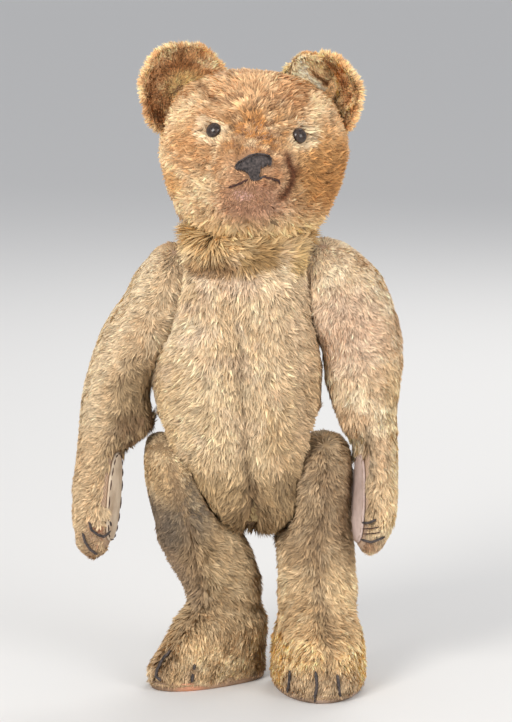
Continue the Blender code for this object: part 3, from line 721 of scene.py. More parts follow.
def head_rings(levels, around):
    y, z, width, above, below = (column[:, None] for column in rows_through(HEAD, levels).T)
    t = np.linspace(0, 2 * np.pi, around, endpoint=False)[None, :]
    upper = np.sin(t) > 0
    across = np.where(upper, np.sign(np.cos(t)) * np.abs(np.cos(t)) ** CROWN, np.cos(t))
    up = np.where(upper, np.maximum(above, 0) * np.abs(np.sin(t)) ** CROWN, np.maximum(below, 0) * np.sin(t))
    rings = np.stack([HEAD_X + np.maximum(width, 0) * across, y + 0 * t, z + up], -1)
    return rolled(rings.reshape(-1, 3)).reshape(rings.shape)


def gusset_seam(points):
    """How far a point is from either seam of the gusset, which runs from the nose out to the ears."""
    p = rolled(points, -HEAD_ROLL)
    front = np.interp(p[:, 2], [322, 343, 351, 364, 372], [9.5, 11.5, 18.5, 29, 34])
    half = np.where(p[:, 1] < 0, front, 34 - 26 * rise(0, 42, p[:, 1]))
    return np.where(p[:, 2] > 324, np.abs(np.abs(p[:, 0] - HEAD_X) - half), 50)


head_skin = skin_mesh("head_backing", pressed(head_rings(levels=72, around=96), head_planes))
stuffed(head_skin, 23, head_planes, lump=1.1, seam=gusset_seam)
golden_backing = backing("golden_backing", rgb(212, 170, 134), rgb(166, 122, 88), rgb(140, 100, 70))
head_skin.data.materials.append(golden_backing)
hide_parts("head_cover")
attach(head_skin, "head")


def face_wear_and_crease_shade(points):
    """Masks of the face: the rubbed bridge and brow, the rubbed chin, and the crease beside the muzzle, which
    is painted as shade.
    """
    z = points[:, 2]
    front = rise(-10, -30, points[:, 1])
    bridge = front * near(points[:, [0, 2]], (9, 340), 21, (1.1, 0.85))
    chin = front * near(points[:, [0, 2]], (7, 303), 22, (1.15, 0.8))
    crease_x = np.interp(z, [301, 307, 314, 320, 325, 329], [21, 24.5, 28, 28.9, 26, 25.3])
    crease = front * band(points[:, 0] - crease_x, 2.0) * rise(301, 306, z) * rise(332, 326, z)
    return bridge, chin, crease


def head_cover(points, out):
    bridge, chin, crease = face_wear_and_crease_shade(points)
    keep = 1 - np.maximum(0.45 * chin, 0.2 * bridge)
    for x, z in EYES.values():
        ring = np.hypot(points[:, 0] - x, points[:, 2] - z)
        keep = keep * np.where(points[:, 1] < 0, rise(4.2, 6.0, ring), 1)
    nose = np.hypot((points[:, 0] - NOSE[0]) / 10.5, (points[:, 2] - NOSE[1]) / 7.0)
    keep = keep * np.where(points[:, 1] < -50, rise(0.8, 1.15, nose), 1)
    return keep * to_front(out, 0.5) * patchy(points, 11, 61) * away_from_planes(points, head_planes)


def head_lie(points, out):
    x = points[:, 0] - HEAD_X
    z = points[:, 2] - 322
    whirl = patches(points, 12, 87) - 0.5
    across = 1.2 * np.tanh(x / 12)
    up = 0.35 * rise(16, 36, z) - 0.35 * rise(10, -25, z) - 1.6 * rise(-20, -36, z)
    muzzle = rise(-46, -66, points[:, 1])
    back = 0.5 + 0.7 * muzzle
    return np.stack([across + 1.3 * whirl, back + 0 * x, up + patches(points, 8, 88) - 0.5], -1)


def head_length(points, out):
    bridge, chin, crease = face_wear_and_crease_shade(points)
    muzzle = rise(-44, -64, points[:, 1])
    tall = 8.0 - 4.2 * muzzle - 3.4 * bridge - 2.0 * chin
    cheek = rise(26, 44, np.abs(points[:, 0] - HEAD_X)) * rise(350, 325, points[:, 2])
    return np.maximum(tall + 2.0 * cheek + 5.0 * rise(302, 288, points[:, 2]), 2.0)


def head_colour(points, out, rng):
    bridge, chin, crease = face_wear_and_crease_shade(points)
    x, z = points[:, 0], points[:, 2]
    flat = points[:, [0, 2]]
    tone = Tone(rgb(208, 171, 128), rgb(184, 139, 96), blotches(points, 15, 55, 0.4, 0.72))
    tone.coat(236, 208, 168, 0.62 * blotches(points * (0.5, 1, 1.4), 3.6, 56, 0.42, 0.74))
    front = rise(-5, -25, points[:, 1])
    for spot, reach in (((-34, 350), 18), ((42, 350), 14), ((-30, 302), 16), ((20, 290), 18), ((-18, 312), 12)):
        tone.coat(234, 208, 168, 0.45 * front * near(flat, spot, reach))
    tone.coat(172, 120, 66, 0.8 * front * near(flat, (46, 317), 26, (0.9, 1.3)))
    tone.coat(184, 132, 82, 0.6 * front * near(flat, (-27, 337), 12, (1, 1.2)))
    tone.coat(192, 134, 72, 0.6 * front * near(flat, (-37, 308), 13, (0.8, 1.2)))
    tone.coat(206, 162, 118, 0.5 * front * near(flat, (5, 362), 20, (1.3, 0.8)))
    brow = front * rise(4, 2, np.abs(z - 356 + 0.05 * x)) * rise(26, 20, np.abs(x - 8))
    tone.coat(104, 68, 44, 0.5 * brow * blotches(points, 1.8, 60, 0.5, 0.62))
    tone.coat(192, 128, 66, 0.8 * bridge * blotches(points, 5, 57, 0.2, 0.6))
    tone.coat(96, 66, 44, 0.6 * bridge * blotches(points, 2.2, 58, 0.6, 0.7))
    tone.coat(178, 130, 96, 0.55 * front * near(flat, (8, 318), 24, (1.1, 0.8)) * rise(-44, -56, points[:, 1]))
    tone.coat(190, 142, 114, 0.85 * chin)
    # Painted highlight: a pale pinkish spot on the chin.
    tone.coat(212, 172, 160, 0.7 * front * near(flat, (1.5, 307.5), 6, (1.3, 0.8)))
    tone.coat(206, 176, 124, 0.6 * front * rise(298, 286, z))
    for eye_x, eye_z in EYES.values():
        tone.coat(236, 214, 180, 0.65 * front * rise(9, 6, np.hypot(x - eye_x, z - eye_z)))
    seam = band(gusset_seam(points), 2.4) * blotches(points, 5, 59, 0.3, 0.55)
    tone.coat(112, 76, 46, seam * front * (0.35 + 0.45 * rise(346, 352, z)))
    # Painted shade: the dark brown crease beside the muzzle.
    tone.coat(92, 52, 30, 0.95 * crease ** 0.6)
    return tone.now


pile("head_pile", head_skin, "head", count=88000, seed=12,
     cover=head_cover, lie=head_lie, length=head_length, colour=head_colour,
     stand=24, grain=(0.5, 1, 1), stray=13, sway=26, curl=26, tuft=0.22)


# ------------------------------------------------------------------ ears
# Round two-layer ears sewn into the head's gusset seams, cupped forwards. The rims are rubbed, the linings
# are short and dirty, with painted shade in the right ear's cup and along the left ear's fold, and the bear's
# left ear has folded in on itself.

EARS = {
    "right": {"centre": (-36.0, 2.0, 363.0), "radius": 27.0, "turn": 18.0, "outward": -1, "fold": 0.0},
    "left": {"centre": (48.0, 2.0, 359.0), "radius": 26.0, "turn": -18.0, "outward": 1, "fold": 6.0},
}
EAR_CUP = 13.0


def ear_skin(side):
    """A cupped lens: its lining in front, its back behind, and a round rim between them."""
    rings, around = 14, 72
    ear = EARS[side]
    outward = ear["outward"]
    shares = np.concatenate([np.linspace(0, 1, rings) ** 0.8, np.linspace(1, 0, rings)[1:] ** 0.8])
    layer = np.concatenate([np.zeros(rings), np.ones(rings - 1)])
    t = np.linspace(0, 2 * np.pi, around, endpoint=False)[None, :]
    s = shares[:, None]
    wobble = 1 + 0.03 * np.sin(3 * t + 1) + 0.02 * np.sin(7 * t)
    x = ear["radius"] * wobble * s * np.cos(t)
    z = ear["radius"] * wobble * s * np.sin(t)
    curl = 1 + 0.35 * np.cos(t) * outward
    y = 5.0 - EAR_CUP * s**1.8 * curl
    y = y + ear["fold"] * band(x - outward * 2 - 0.35 * z * outward, 7) * rise(26, 4, z) * (1 - layer[:, None])
    thick = 4.2 * np.sqrt(np.clip(1 - s**6, 0, 1)) + 0.6
    y = y + np.where(layer[:, None] > 0, thick, 0)
    turn = math.radians(ear["turn"])
    px = x * math.cos(turn) - y * math.sin(turn)
    py = x * math.sin(turn) + y * math.cos(turn)
    spots = np.stack([px, py, z], -1) + np.array(ear["centre"])
    return skin_mesh(f"ear_{side}_backing", spots)


ear_backing = backing("ear_backing", rgb(206, 170, 130), rgb(158, 120, 86), rgb(128, 92, 64))


def ear_local(points, side):
    """Points in the ear's own directions: across, outward depth and height from its middle."""
    ear = EARS[side]
    turn = -math.radians(ear["turn"])
    p = points - np.array(ear["centre"])
    return np.stack([p[:, 0] * math.cos(turn) - p[:, 1] * math.sin(turn),
                     p[:, 0] * math.sin(turn) + p[:, 1] * math.cos(turn), p[:, 2]], -1)


for side in EARS:
    ear = ear_skin(side)
    ear.data.materials.append(ear_backing)
    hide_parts(f"ear_{side}")
    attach(ear, "head")

    def ear_cover(points, out):
        inside = near(rolled(points, -HEAD_ROLL), (HEAD_X, 2, 327), 48, (1.0, 0.9, 0.86)) > 0.02
        return np.where(inside, 0.05, 1.0)

    def ear_lie(points, out):
        p = ear_local(points, side)
        radial = np.stack([p[:, 0], 0 * p[:, 0], p[:, 2]], -1)
        brushed = unit(radial) + 0.9 * (patches(points, 9, 31)[:, None] - 0.5)
        if side == "left":
            flap = rise(0.2, -0.4, out[:, 1]) * rise(3, -1, p[:, 0])
            brushed = mixed(brushed, np.array([0.7, 0.0, -0.7]), flap)
        return brushed

    def ear_length(points, out):
        p = ear_local(points, side)
        rim = rise(0.75, 1.0, np.hypot(p[:, 0], p[:, 2]) / EARS[side]["radius"])
        lining = rise(0.2, -0.4, out[:, 1])
        return 5.0 - 1.2 * lining + 0.9 * rim

    def ear_colour(points, out, rng):
        p = ear_local(points, side)
        share = np.hypot(p[:, 0], p[:, 2]) / EARS[side]["radius"]
        lining = rise(0.2, -0.4, out[:, 1])
        tone = Tone(rgb(232, 182, 130), rgb(250, 214, 168), blotches(points, 7, 91, 0.4, 0.7))
        tone.coat(168, 116, 70, 0.5 * blotches(points, 4, 93, 0.6, 0.72))
        if side == "right":
            # Painted shade: a brown arc under the upper rim of the cup. Painted light: the paler patch low in
            # the cup.
            arc = lining * band(np.hypot(p[:, 0] + 4, p[:, 2] + 4) - 17, 4.5) * rise(-12, 0, p[:, 2] - p[:, 0])
            tone.coat(158, 104, 60, 0.6 * arc)
            tone.coat(232, 202, 140, 0.7 * lining * near(p[:, [0, 2]], (4, 2), 13, (1.2, 0.9)))
        else:
            # Painted shade: a dark line along the fold and a dark pit beside it.
            fold_x = np.interp(p[:, 2], [-9.5, 6.8, 17], [5.5, 1.4, -6.8])
            fold = lining * band(p[:, 0] - fold_x, 1.8) * rise(-11, -8, p[:, 2]) * rise(19, 15, p[:, 2])
            rim = rise(6, 1, p[:, 1]) * rise(0.7, 0.9, share)
            flap = rise(1, 4, fold_x - p[:, 0]) * np.maximum(lining, rim)
            tone.coat(255, 240, 214, 0.9 * flap)
            tone.coat(250, 226, 186, 0.6 * flap * near(p[:, [0, 2]], (-13, 6), 14, (0.9, 1.3)))
            tone.coat(242, 208, 160, 0.75 * lining * rise(-3, 0, fold_x + 9 - p[:, 0]) * (1 - flap))
            pit = lining * near(p[:, [0, 2]], (4.5, -6), 6, (0.8, 1.2))
            tone.coat(104, 66, 38, 0.85 * np.maximum(fold, pit))
        tone.coat(182, 140, 92, 0.5 * (1 - lining) * rise(1.0, 0.8, share))
        tone.coat(240, 208, 162, 0.45 * rise(0.82, 1.0, share))
        return tone.now

    pile(f"ear_{side}_pile", ear, "head", count=22000, seed=21 + EARS[side]["outward"],
         cover=ear_cover, lie=ear_lie, length=ear_length, colour=ear_colour, lock=1.2, sway=18, tuft=0.2)


# ------------------------------------------------------------------ eyes
# Two boot buttons: domed, near-black, dulled and finely scratched, each on a wire shank that goes through
# the cloth.

PIN_START = 200.0  # further forward than any cloth


def drape_of(skin):
    """The cloth as something to lay stitches on."""
    points, _ = points_of(skin)
    return BVHTree.FromPolygons(points.tolist(), [tuple(face.vertices) for face in skin.data.polygons])


def lands(tree, x, z, lift):
    """Where a straight pin from in front meets the cloth, lifted off it, and the cloth's normal there."""
    hit, normal, _, _ = tree.ray_cast(Vector((x, -PIN_START, z)), Vector((0, 1, 0)))
    if hit is None:
        hit, normal, _, _ = tree.find_nearest(Vector((x, -30, z)))
        away = Vector((x, -30, z)) - hit
        normal = normal if normal.dot(away) > 0 else -normal
    elif normal.y > 0:
        normal = -normal
    return hit + normal * lift, normal


def cloudy_grain_group():
    """Wear, soil or a twist as one cloudy grain: the first colour up to Low, the second from High on."""
    group, given = effect("cloudy_grain", {
        "Scale": 300.0, "Detail": 4.0, "Low": 0.0, "High": 1.0, "First": (0, 0, 0, 1), "Second": (1, 1, 1, 1),
    })
    height = noise(group, given["Scale"], given["Detail"])
    share = ranged(group, height, given["Low"], given["High"])
    gives = group.nodes.new("NodeGroupOutput")
    feed(gives, {"Colour": blended(group, share, given["First"], given["Second"]), "Height": height})
    return group


CLOUDY_GRAIN = cloudy_grain_group()


def clouded(tree, scale, detail, **looks):
    """The cloudy grain in a material; looks are its low and high ends and its first and second colours."""
    looks = {label.capitalize(): value for label, value in looks.items()}
    return make(tree, "Group", {"Scale": scale, "Detail": detail, **looks}, node_tree=CLOUDY_GRAIN).outputs


def boot_button(tree):
    wear = clouded(tree, 700, 6, low=0.35, high=0.75,
                   first=(0.012, 0.008, 0.007, 1), second=(0.085, 0.055, 0.04, 1))
    return {"Base Color": wear["Colour"], "Roughness": ranged(tree, wear["Height"], 0, 1, 0.1, 0.34),
            "Normal": bump(tree, wear["Height"], 0.00015, 0.5)}


BUTTON = surface("boot_button", boot_button)
face_drape = drape_of(head_skin)


def solid(name, points, faces):
    """A smooth object from points in the bear's millimetres."""
    mesh = bpy.data.meshes.new(name)
    mesh.from_pydata(metres([tuple(p) for p in points]).tolist(), [], faces)
    mesh.shade_smooth()
    return placed(name, mesh)


def turned(name, point, normal, profile):
    """A turned solid about normal from rows of height and radius, closed at both ends."""
    around = 40
    across = normal.orthogonal().normalized()
    other = normal.cross(across)
    points, faces = [point + normal * profile[0][0]], []
    for height, radius in profile[1:-1]:
        for k in range(around):
            t = 2 * math.pi * k / around
            points.append(point + normal * height + (across * math.cos(t) + other * math.sin(t)) * radius)
    points.append(point + normal * profile[-1][0])
    rows = len(profile) - 2
    for k in range(around):
        n = (k + 1) % around
        faces.append((0, 1 + n, 1 + k))
        for row in range(rows - 1):
            low = 1 + row * around
            faces.append((low + k, low + n, low + around + n, low + around + k))
        faces.append((len(points) - 1, 1 + (rows - 1) * around + k, 1 + (rows - 1) * around + n))
    return solid(name, points, faces)


for side, spot in EYES.items():
    seat, looks = lands(face_drape, *spot, 1.5)
    dome = [(0.35 + 3.3 * math.sin(math.radians(a)), 4.7 * math.cos(math.radians(a))) for a in range(0, 90, 9)]
    button = turned(f"eye_{side}_button", seat, looks,
                    [(-4.8, 0), (-4.8, 0.8), (0.0, 0.8), (0.0, 4.3), (0.15, 4.65), *dome, (3.68, 0)])
    button.data.materials.append(BUTTON)
    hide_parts(f"eye_{side}")
    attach(button, "head")


# ------------------------------------------------------------------ nose and mouth
# Black cotton floss in upright satin stitches over a small arch, some of them worn through low on the bear's
# left, with one heavier stitch along the top; the mouth is a few long brown-black stitches.

def floss_material(name, dark, light):
    """Stranded cotton: a twist along the thread, faded on its high side."""
    def build(tree):
        twist = clouded(tree, 650, 3, low=0.3, high=0.8, first=paint(dark), second=paint(light))
        return {"Base Color": twist["Colour"], "Normal": bump(tree, twist["Height"], 0.0002), "Roughness": 0.72}

    return surface(name, build)


BLACK_FLOSS = floss_material("black_floss", rgb(18, 15, 17), rgb(104, 92, 88))
BROWN_FLOSS = floss_material("brown_floss", rgb(38, 18, 14), rgb(88, 50, 38))
PALE_FLOSS = floss_material("pale_floss", rgb(170, 146, 128), rgb(206, 186, 170))


def thread(name, lines, radius, mat, sides=6):
    """Stitches as one mesh: each line of points becomes a round thread that tapers at its ends."""
    points, faces = [], []
    for line in lines:
        line = [Vector(p) for p in line]
        for k, p in enumerate(line):
            along = (line[min(k + 1, len(line) - 1)] - line[max(k - 1, 0)]).normalized()
            across = along.orthogonal().normalized()
            other = along.cross(across)
            thin = 0.45 if k in (0, len(line) - 1) else 1.0
            start = len(points)
            for s in range(sides):
                t = 2 * math.pi * s / sides
                points.append(p + (across * math.cos(t) + other * math.sin(t)) * radius * thin)
            if k:
                before = Vector(points[start - sides]) - line[k - 1]
                turn = min(range(sides), key=lambda s: (points[start + s] - p - before).length)
                ring = points[start:]
                points[start:] = ring[turn:] + ring[:turn]
                for s in range(sides):
                    n = (s + 1) % sides
                    faces.append((start - sides + s, start - sides + n, start + n, start + s))
        first = len(points) - sides * len(line)
        faces.append(tuple(reversed(range(first, first + sides))))
        faces.append(tuple(range(len(points) - sides, len(points))))
    obj = solid(name, points, faces)
    obj.data.materials.append(mat)
    return obj


def laid(tree, spots, lift, step=1.2):
    """A line of points on the cloth through spots, each x and z as seen from the front."""
    line = []
    for (x0, z0), (x1, z1) in zip(spots, spots[1:]):
        steps = max(2, round(math.dist((x0, z0), (x1, z1)) / step))
        line += [lands(tree, x0 + (x1 - x0) * k / steps, z0 + (z1 - z0) * k / steps, lift)[0]
                 for k in range(steps)]
    return [*line, lands(tree, *spots[-1], lift)[0]]


NOSE_TOP = ([-3.1, -0.3, 2.9, 5.3, 9.3, 13.3, 15.7, 17.7], [323, 326.1, 328.3, 329.6, 330.2, 330.1, 329.4, 328])
NOSE_FOOT = ([-3.1, 2.9, 4.5, 5.3, 6.9, 10.8, 11.4, 17.7],
             [322.3, 321.2, 319.6, 318, 315.8, 316.8, 323.4, 324.2])
rng = np.random.default_rng(5)
stitches = []
for x in np.arange(-2.6, 17.6, 0.62):
    top = np.interp(x, *NOSE_TOP)
    foot = np.interp(x, *NOSE_FOOT)
    foot = foot + (rng.uniform(-0.5, 1.2) if x > 11 else rng.uniform(-0.4, 0.4))
    stitches.append(laid(face_drape, [(x, top), (x + rng.uniform(-0.25, 0.25), foot)], 0.9, step=1.6))
arch = [(-2.9, 323.4), (-0.3, 326.4), (2.9, 328.6), (5.3, 329.9), (9.3, 330.5), (13.3, 330.4), (15.7, 329.7),
        (17.4, 328)]
low_ends = [[(8.6, 317.0), (14.6, 318.9)], [(7.4, 316.4), (12.4, 317.4)]]
stitches += [laid(face_drape, arch, 1.2), *(laid(face_drape, end, 0.8) for end in low_ends)]
nose = thread("nose_stitches", stitches, 0.52, BLACK_FLOSS)
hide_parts("nose_stitching")
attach(nose, "head")
smile = [laid(face_drape, [(4.4, 317.0), (0.6, 314.9), (-6.2, 311.6)], 1.0),
         laid(face_drape, [(13.6, 318.4), (19.4, 316.6), (21.7, 315.6), (22.2, 313.6)], 1.0)]
mouth = thread("mouth_stitches", smile, 0.72, BROWN_FLOSS)
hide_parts("mouth_stitching")
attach(mouth, "head")


# ------------------------------------------------------------------ arms
# Long curved arms of two panels, pressed flat to the body at the shoulder. The pile is combed across them and
# is rubbed down to the weave on the bear's left shoulder. A felt pad fills the inner face of each hand.

ARM_ROWS = {
    "left": [
        (50, 0, 272.5, 0, 0, 0, 0),
        (50, 0, 270, 10, 8, 8, 0),
        (51, 0, 263, 20, 15, 15, 0),
        (54.5, 0, 254, 25.5, 18, 18, 0),
        (58.5, 0, 242, 28.5, 20, 20, 0),
        (64, 1, 228, 28, 21, 21, 0),
        (72, 1.5, 211, 24, 21, 21, 0),
        (75, 1, 192, 21, 20, 20, 0),
        (76, -1, 174, 18, 18.5, 18.5, 5),
        (78.5, -5, 156, 14.5, 17, 17, 10),
        (80.5, -11, 136, 12.5, 17, 17, 16),
        (80.5, -17, 116, 12, 18, 17, 16),
        (79.5, -21, 100, 10.5, 15, 14, 16),
        (78, -23, 89, 7.5, 9, 8, 16),
        (77.5, -23, 84, 0, 0, 0, 16),
    ],
    "right": [
        (-42.5, 0, 269, 0, 0, 0, 0),
        (-42.5, 0, 266.5, 7.5, 8, 8, 0),
        (-43, 0, 260.5, 12.5, 14, 14, 0),
        (-45, 0, 252.5, 18, 17.5, 17.5, 0),
        (-49, 0, 241, 20.5, 19.5, 19.5, 0),
        (-57.5, 1, 225, 21.5, 20, 20, 0),
        (-68, 1.5, 205, 19.5, 20, 20, 0),
        (-75, 1, 188, 18, 19.5, 19.5, 0),
        (-76.5, 0, 172, 19, 18.5, 18.5, -5),
        (-76.4, -1, 162, 20, 18, 18, -7),
        (-79.8, -2.5, 154, 17.5, 17.5, 17.5, -10),
        (-83.3, -4, 146, 14.7, 17, 17, -13),
        (-85.3, -6, 136, 13.5, 17, 17, -16),
        (-87.5, -10, 117, 13, 18, 17, -16),
        (-88.5, -13, 99, 11.5, 15, 14, -16),
        (-89.5, -15, 86, 8, 9, 8, -16),
        (-89.5, -15, 79, 0, 0, 0, -16),
    ],
}
HAND_CLAWS = {
    "left": [[(74.5, 104.6), (77.5, 105.2), (81.5, 107.6)], [(73.5, 94.6), (78.5, 93.9), (85.5, 97.0)]],
    "right": [[(-91.5, 104.4), (-90.3, 99.8), (-87.7, 97.0), (-84.0, 95.0), (-81.2, 97.2)],
              [(-94.8, 97.4), (-93.6, 92.0), (-91.4, 87.9), (-87.8, 84.4)], [(-81.5, 103.5), (-80.8, 100.0)]],
}
arm_backing = backing("arm_backing", rgb(212, 184, 158), rgb(168, 136, 110), rgb(126, 104, 84))


def palm_of(rows, sign):
    """The flat inner face of a hand: a point on it, its outward normal and the hand's length direction."""
    upper, middle, lower = rows[-5], rows[-4], rows[-3]
    along = (Vector(lower[:3]) - Vector(upper[:3])).normalized()
    turn = math.radians(abs(middle[6]))
    facing = Vector((-sign * math.cos(turn), -math.sin(turn), 0.0))
    normal = (facing - along * facing.dot(along)).normalized()
    return Vector(middle[:3]) + normal * (middle[3] - 3.2), normal, along


def row_at(rows, z, column):
    """A column of a limb's rows at each height; column 0 is its middle line."""
    rows = np.array(rows, float)[::-1]
    return np.interp(z, rows[:, 2], rows[:, column])


arms = {}
for side, sign in (("left", 1), ("right", -1)):
    rows = ARM_ROWS[side]
    palm, palm_out, palm_along = palm_of(rows, sign)
    joint = JOINTS[f"shoulder_{side}"]
    shoulder_planes = [(joint[0], -joint[1], 29.0)]
    palm_planes = [(tuple(palm), tuple(palm_out), 36.0 if side == "left" else 29.0)]
    rings = standing_rings(rows, levels=70, around=60)
    arm = skin_mesh(f"arm_{side}_backing", pressed(rings, shoulder_planes + palm_planes))
    stuffed(arm, 31 + sign, shoulder_planes + palm_planes, lump=1.2)
    arm.data.materials.append(arm_backing)
    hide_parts(f"arm_{side}_cover")
    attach(arm, f"arm_{side}")
    arms[side] = (arm, palm, palm_out, palm_along)

    def arm_cover(points, out):
        gap, away = from_plane(points, palm, palm_out)
        on_palm = (gap < 1.8) & (away < 31)
        keep = patchy(points, 11, 71 + sign)
        if side == "left":
            worn = near(points, (58, -18, 232), 34, (1, 1, 1.15))
            keep = keep * (1 - 0.35 * worn * blotches(points, 5, 75, 0.25, 0.55))
        keep = keep * (1 - 0.3 * rise(106, 92, points[:, 2]))
        return np.where(on_palm, 0.0, keep) * to_front(out, 0.45) * away_from_planes(points, shoulder_planes)

    def arm_lie(points, out):
        x = (points[:, 0] - row_at(rows, points[:, 2], 0)) * sign
        z = points[:, 2]
        whirl = patches(points, 10, 73 + sign) - 0.5
        outer = rise(-7, 6, x)
        if side == "right":
            sideways = sign * (2.0 * outer - 0.5 * (1 - outer) * rise(262, 250, z))
            back = 0.25 * out[:, 1] + 1.8 * rise(0.7, 0.92, out[:, 2])
            sideways = sideways + (1.0 + 2.2 * (1 - outer)) * whirl
            return np.stack([sideways, back, -0.8 + 1.2 * whirl * (1 - outer)], -1)
        low = rise(190, 165, z)
        sideways = sign * ((1.5 * outer - 0.3) * (1 - low) + 0.45 * x / 14 * low)
        back = 0.25 * out[:, 1] + 1.8 * rise(0.7, 0.92, out[:, 2])
        return np.stack([sideways + 1.1 * whirl, back, -1.0 + 0 * x], -1)

    def arm_length(points, out):
        z = points[:, 2]
        x = (points[:, 0] - row_at(rows, z, 0)) * sign
        tall = 6.6 + 2.4 * rise(-4, -12, x) * rise(130, 160, z)
        tall = tall - 2.4 * rise(112, 96, z) - 2.4 * rise(250, 264, z)
        if side == "right":
            tall = tall - 1.6 * rise(-2, 6, x) * rise(120, 140, z)
        else:
            tall = tall - 1.8 * near(points, (58, -18, 232), 38, (1, 1, 1.15))
        for spot in itertools.chain(*HAND_CLAWS[side]):
            tall = tall - 1.2 * near(points[:, [0, 2]], spot, 5.5)
        return np.maximum(tall, 1.8)

    def arm_colour(points, out, rng):
        z = points[:, 2]
        flat = points[:, [0, 2]]
        x = (points[:, 0] - row_at(rows, z, 0)) * sign
        tone = Tone(rgb(220, 196, 162), rgb(204, 174, 138), blotches(points, 14, 81 + sign, 0.35, 0.7))
        tone.coat(236, 218, 188, 0.55 * blotches(points, 6, 84 + sign, 0.5, 0.75))
        if side == "right":
            tone.coat(190, 162, 124, 0.35 + 0.3 * rise(215, 180, z))
            # Painted highlight: the outer side paler above the elbow. Painted shade: the inner side, towards
            # the body, darker.
            tone.coat(224, 204, 172, 0.6 * rise(2, 9, x) * rise(150, 170, z))
            inside = rise(3, -5, x) * rise(215, 195, z) * rise(128, 146, z)
            tone.coat(140, 116, 84, 0.65 * inside)
            elbow = near(points, (-62, -14, 160), 20, (1, 1.5, 1))
            tone.coat(104, 78, 54, 0.75 * elbow * blotches(points, 4, 86, 0.3, 0.6))
            speck = near(flat, (-82, 100), 13, (0.8, 1.3)) * blotches(points, 1.6, 88, 0.55, 0.7)
            tone.coat(158, 78, 58, 0.6 * speck)
        else:
            tone.coat(216, 184, 158, 0.65 * near(points, (62, -18, 222), 34, (1, 1, 1.15)))
            tone.coat(206, 180, 130, 0.45 * rise(4, 14, x) * rise(215, 180, z))
            tone.coat(232, 206, 164, 0.5 * rise(150, 125, z))
            middle = band(x + 2, 2.5) * rise(172, 162, z) * rise(120, 135, z)
            tone.coat(144, 124, 98, 0.55 * middle)
            tone.coat(150, 124, 92, 0.6 * near(flat, (74, 116), 13, (0.8, 1.5)))
            tone.coat(124, 78, 52, 0.6 * near(flat, (74, 92), 8, (1.2, 0.7)))
        tone.coat(176, 140, 108, 0.5 * rise(104, 88, z) * blotches(points, 5, 87, 0.3, 0.6))
        return tone.now

    pile(f"arm_{side}_pile", arm, f"arm_{side}", count=52000, seed=41 + sign,
         cover=arm_cover, lie=arm_lie, length=arm_length, colour=arm_colour,
         grain=(0.5, 1, 1) if side == "right" else (1, 1, 0.5),
         ribs=(np.array([0.0, 0.0, 1.0]), 1.7, 0.75 if side == "right" else 0.3))


# ------------------------------------------------------------------ paw pads
# Pinkish wool felt, thin and soiled, cut as a long oval and whipped on round its edge, with dark thread on
# the bear's right hand and pale thread on its left.

def felt_material(name, clean, dirty, rubbed=None):
    """Soiled felt. rubbed gives a spot, its reach and the colour that the felt has kept there."""
    def build(tree):
        colour = clouded(tree, 90, 6, low=0.35, high=0.72, first=paint(clean), second=paint(dirty))["Colour"]
        if rubbed is not None:
            spot, reach, kept = rubbed
            place = make(tree, "TexCoord").outputs["Object"]
            away = make(tree, "VectorMath", {0: place, 1: metres(spot)}, operation="DISTANCE").outputs["Value"]
            colour = blended(tree, ranged(tree, away, reach * MM, 0.6 * reach * MM), colour, paint(kept))
        return {"Base Color": colour, "Normal": bump(tree, clouded(tree, 1400, 4)["Height"], 0.0004),
                "Roughness": 0.95, "Specular IOR Level": 0.1}

    return surface(name, build)


PAW_FELTS = {
    "left": felt_material("paw_felt_left", rgb(218, 196, 186), rgb(176, 152, 140)),
    "right": felt_material("paw_felt_right", rgb(228, 210, 186), rgb(188, 164, 138)),
}


def felt_panel(name, centre, normal, along, outline, low, high, crown):
    """A felt panel from low to high above centre, crowned in its middle, with a soft edge."""
    across = normal.cross(along).normalized()
    rings = []
    for share, height in (
        (0.0, high + crown), (0.35, high + crown * 0.9), (0.65, high + crown * 0.6), (0.85, high + crown * 0.3),
        (0.95, high), (1.0, high - 0.35), (1.0, low + 0.2), (0.95, low), (0.6, low), (0.0, low),
    ):
        rings.append([
            tuple(centre + along * (u * share) + across * (v * share) + normal * height) for u, v in outline
        ])
    return skin_mesh(name, np.array(rings))


PAD_STEPS = 56
PAD_SQUARENESS = 2.3  # 2 would be an ellipse
outline = []
for k in range(PAD_STEPS):
    t = 2 * math.pi * k / PAD_STEPS
    u, v = (math.copysign(abs(part) ** (2 / PAD_SQUARENESS), part) for part in (math.cos(t), math.sin(t)))
    outline.append((27.0 * u, 12.0 * v))

for side, (arm, palm, palm_out, palm_along) in arms.items():
    pad = felt_panel(f"paw_pad_{side}_felt", palm, palm_out, palm_along, outline, low=0.1, high=1.5, crown=0.6)
    pad.data.materials.append(PAW_FELTS[side])
    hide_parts(f"paw_pad_{side}")
    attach(pad, f"arm_{side}")
    across = palm_out.cross(palm_along).normalized()
    around = [palm + palm_along * u * 0.97 + across * v * 0.94 + palm_out * 1.75 for u, v in outline]
    stitches = [[around[k], around[k + 1] + palm_out * 0.15, around[(k + 2) % PAD_STEPS]]
                for k in range(0, PAD_STEPS, 3)]
    radius, floss = (0.4, BROWN_FLOSS) if side == "right" else (0.22, PALE_FLOSS)
    running = thread(f"paw_stitches_{side}", stitches, radius, floss, sides=5)
    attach(running, f"arm_{side}")


# ------------------------------------------------------------------ hand claws
# Long single stitches of black floss, worked over the seam at the end of each hand and knotted under the
# pile, with two thin brown ones left beside those of the bear's left hand.

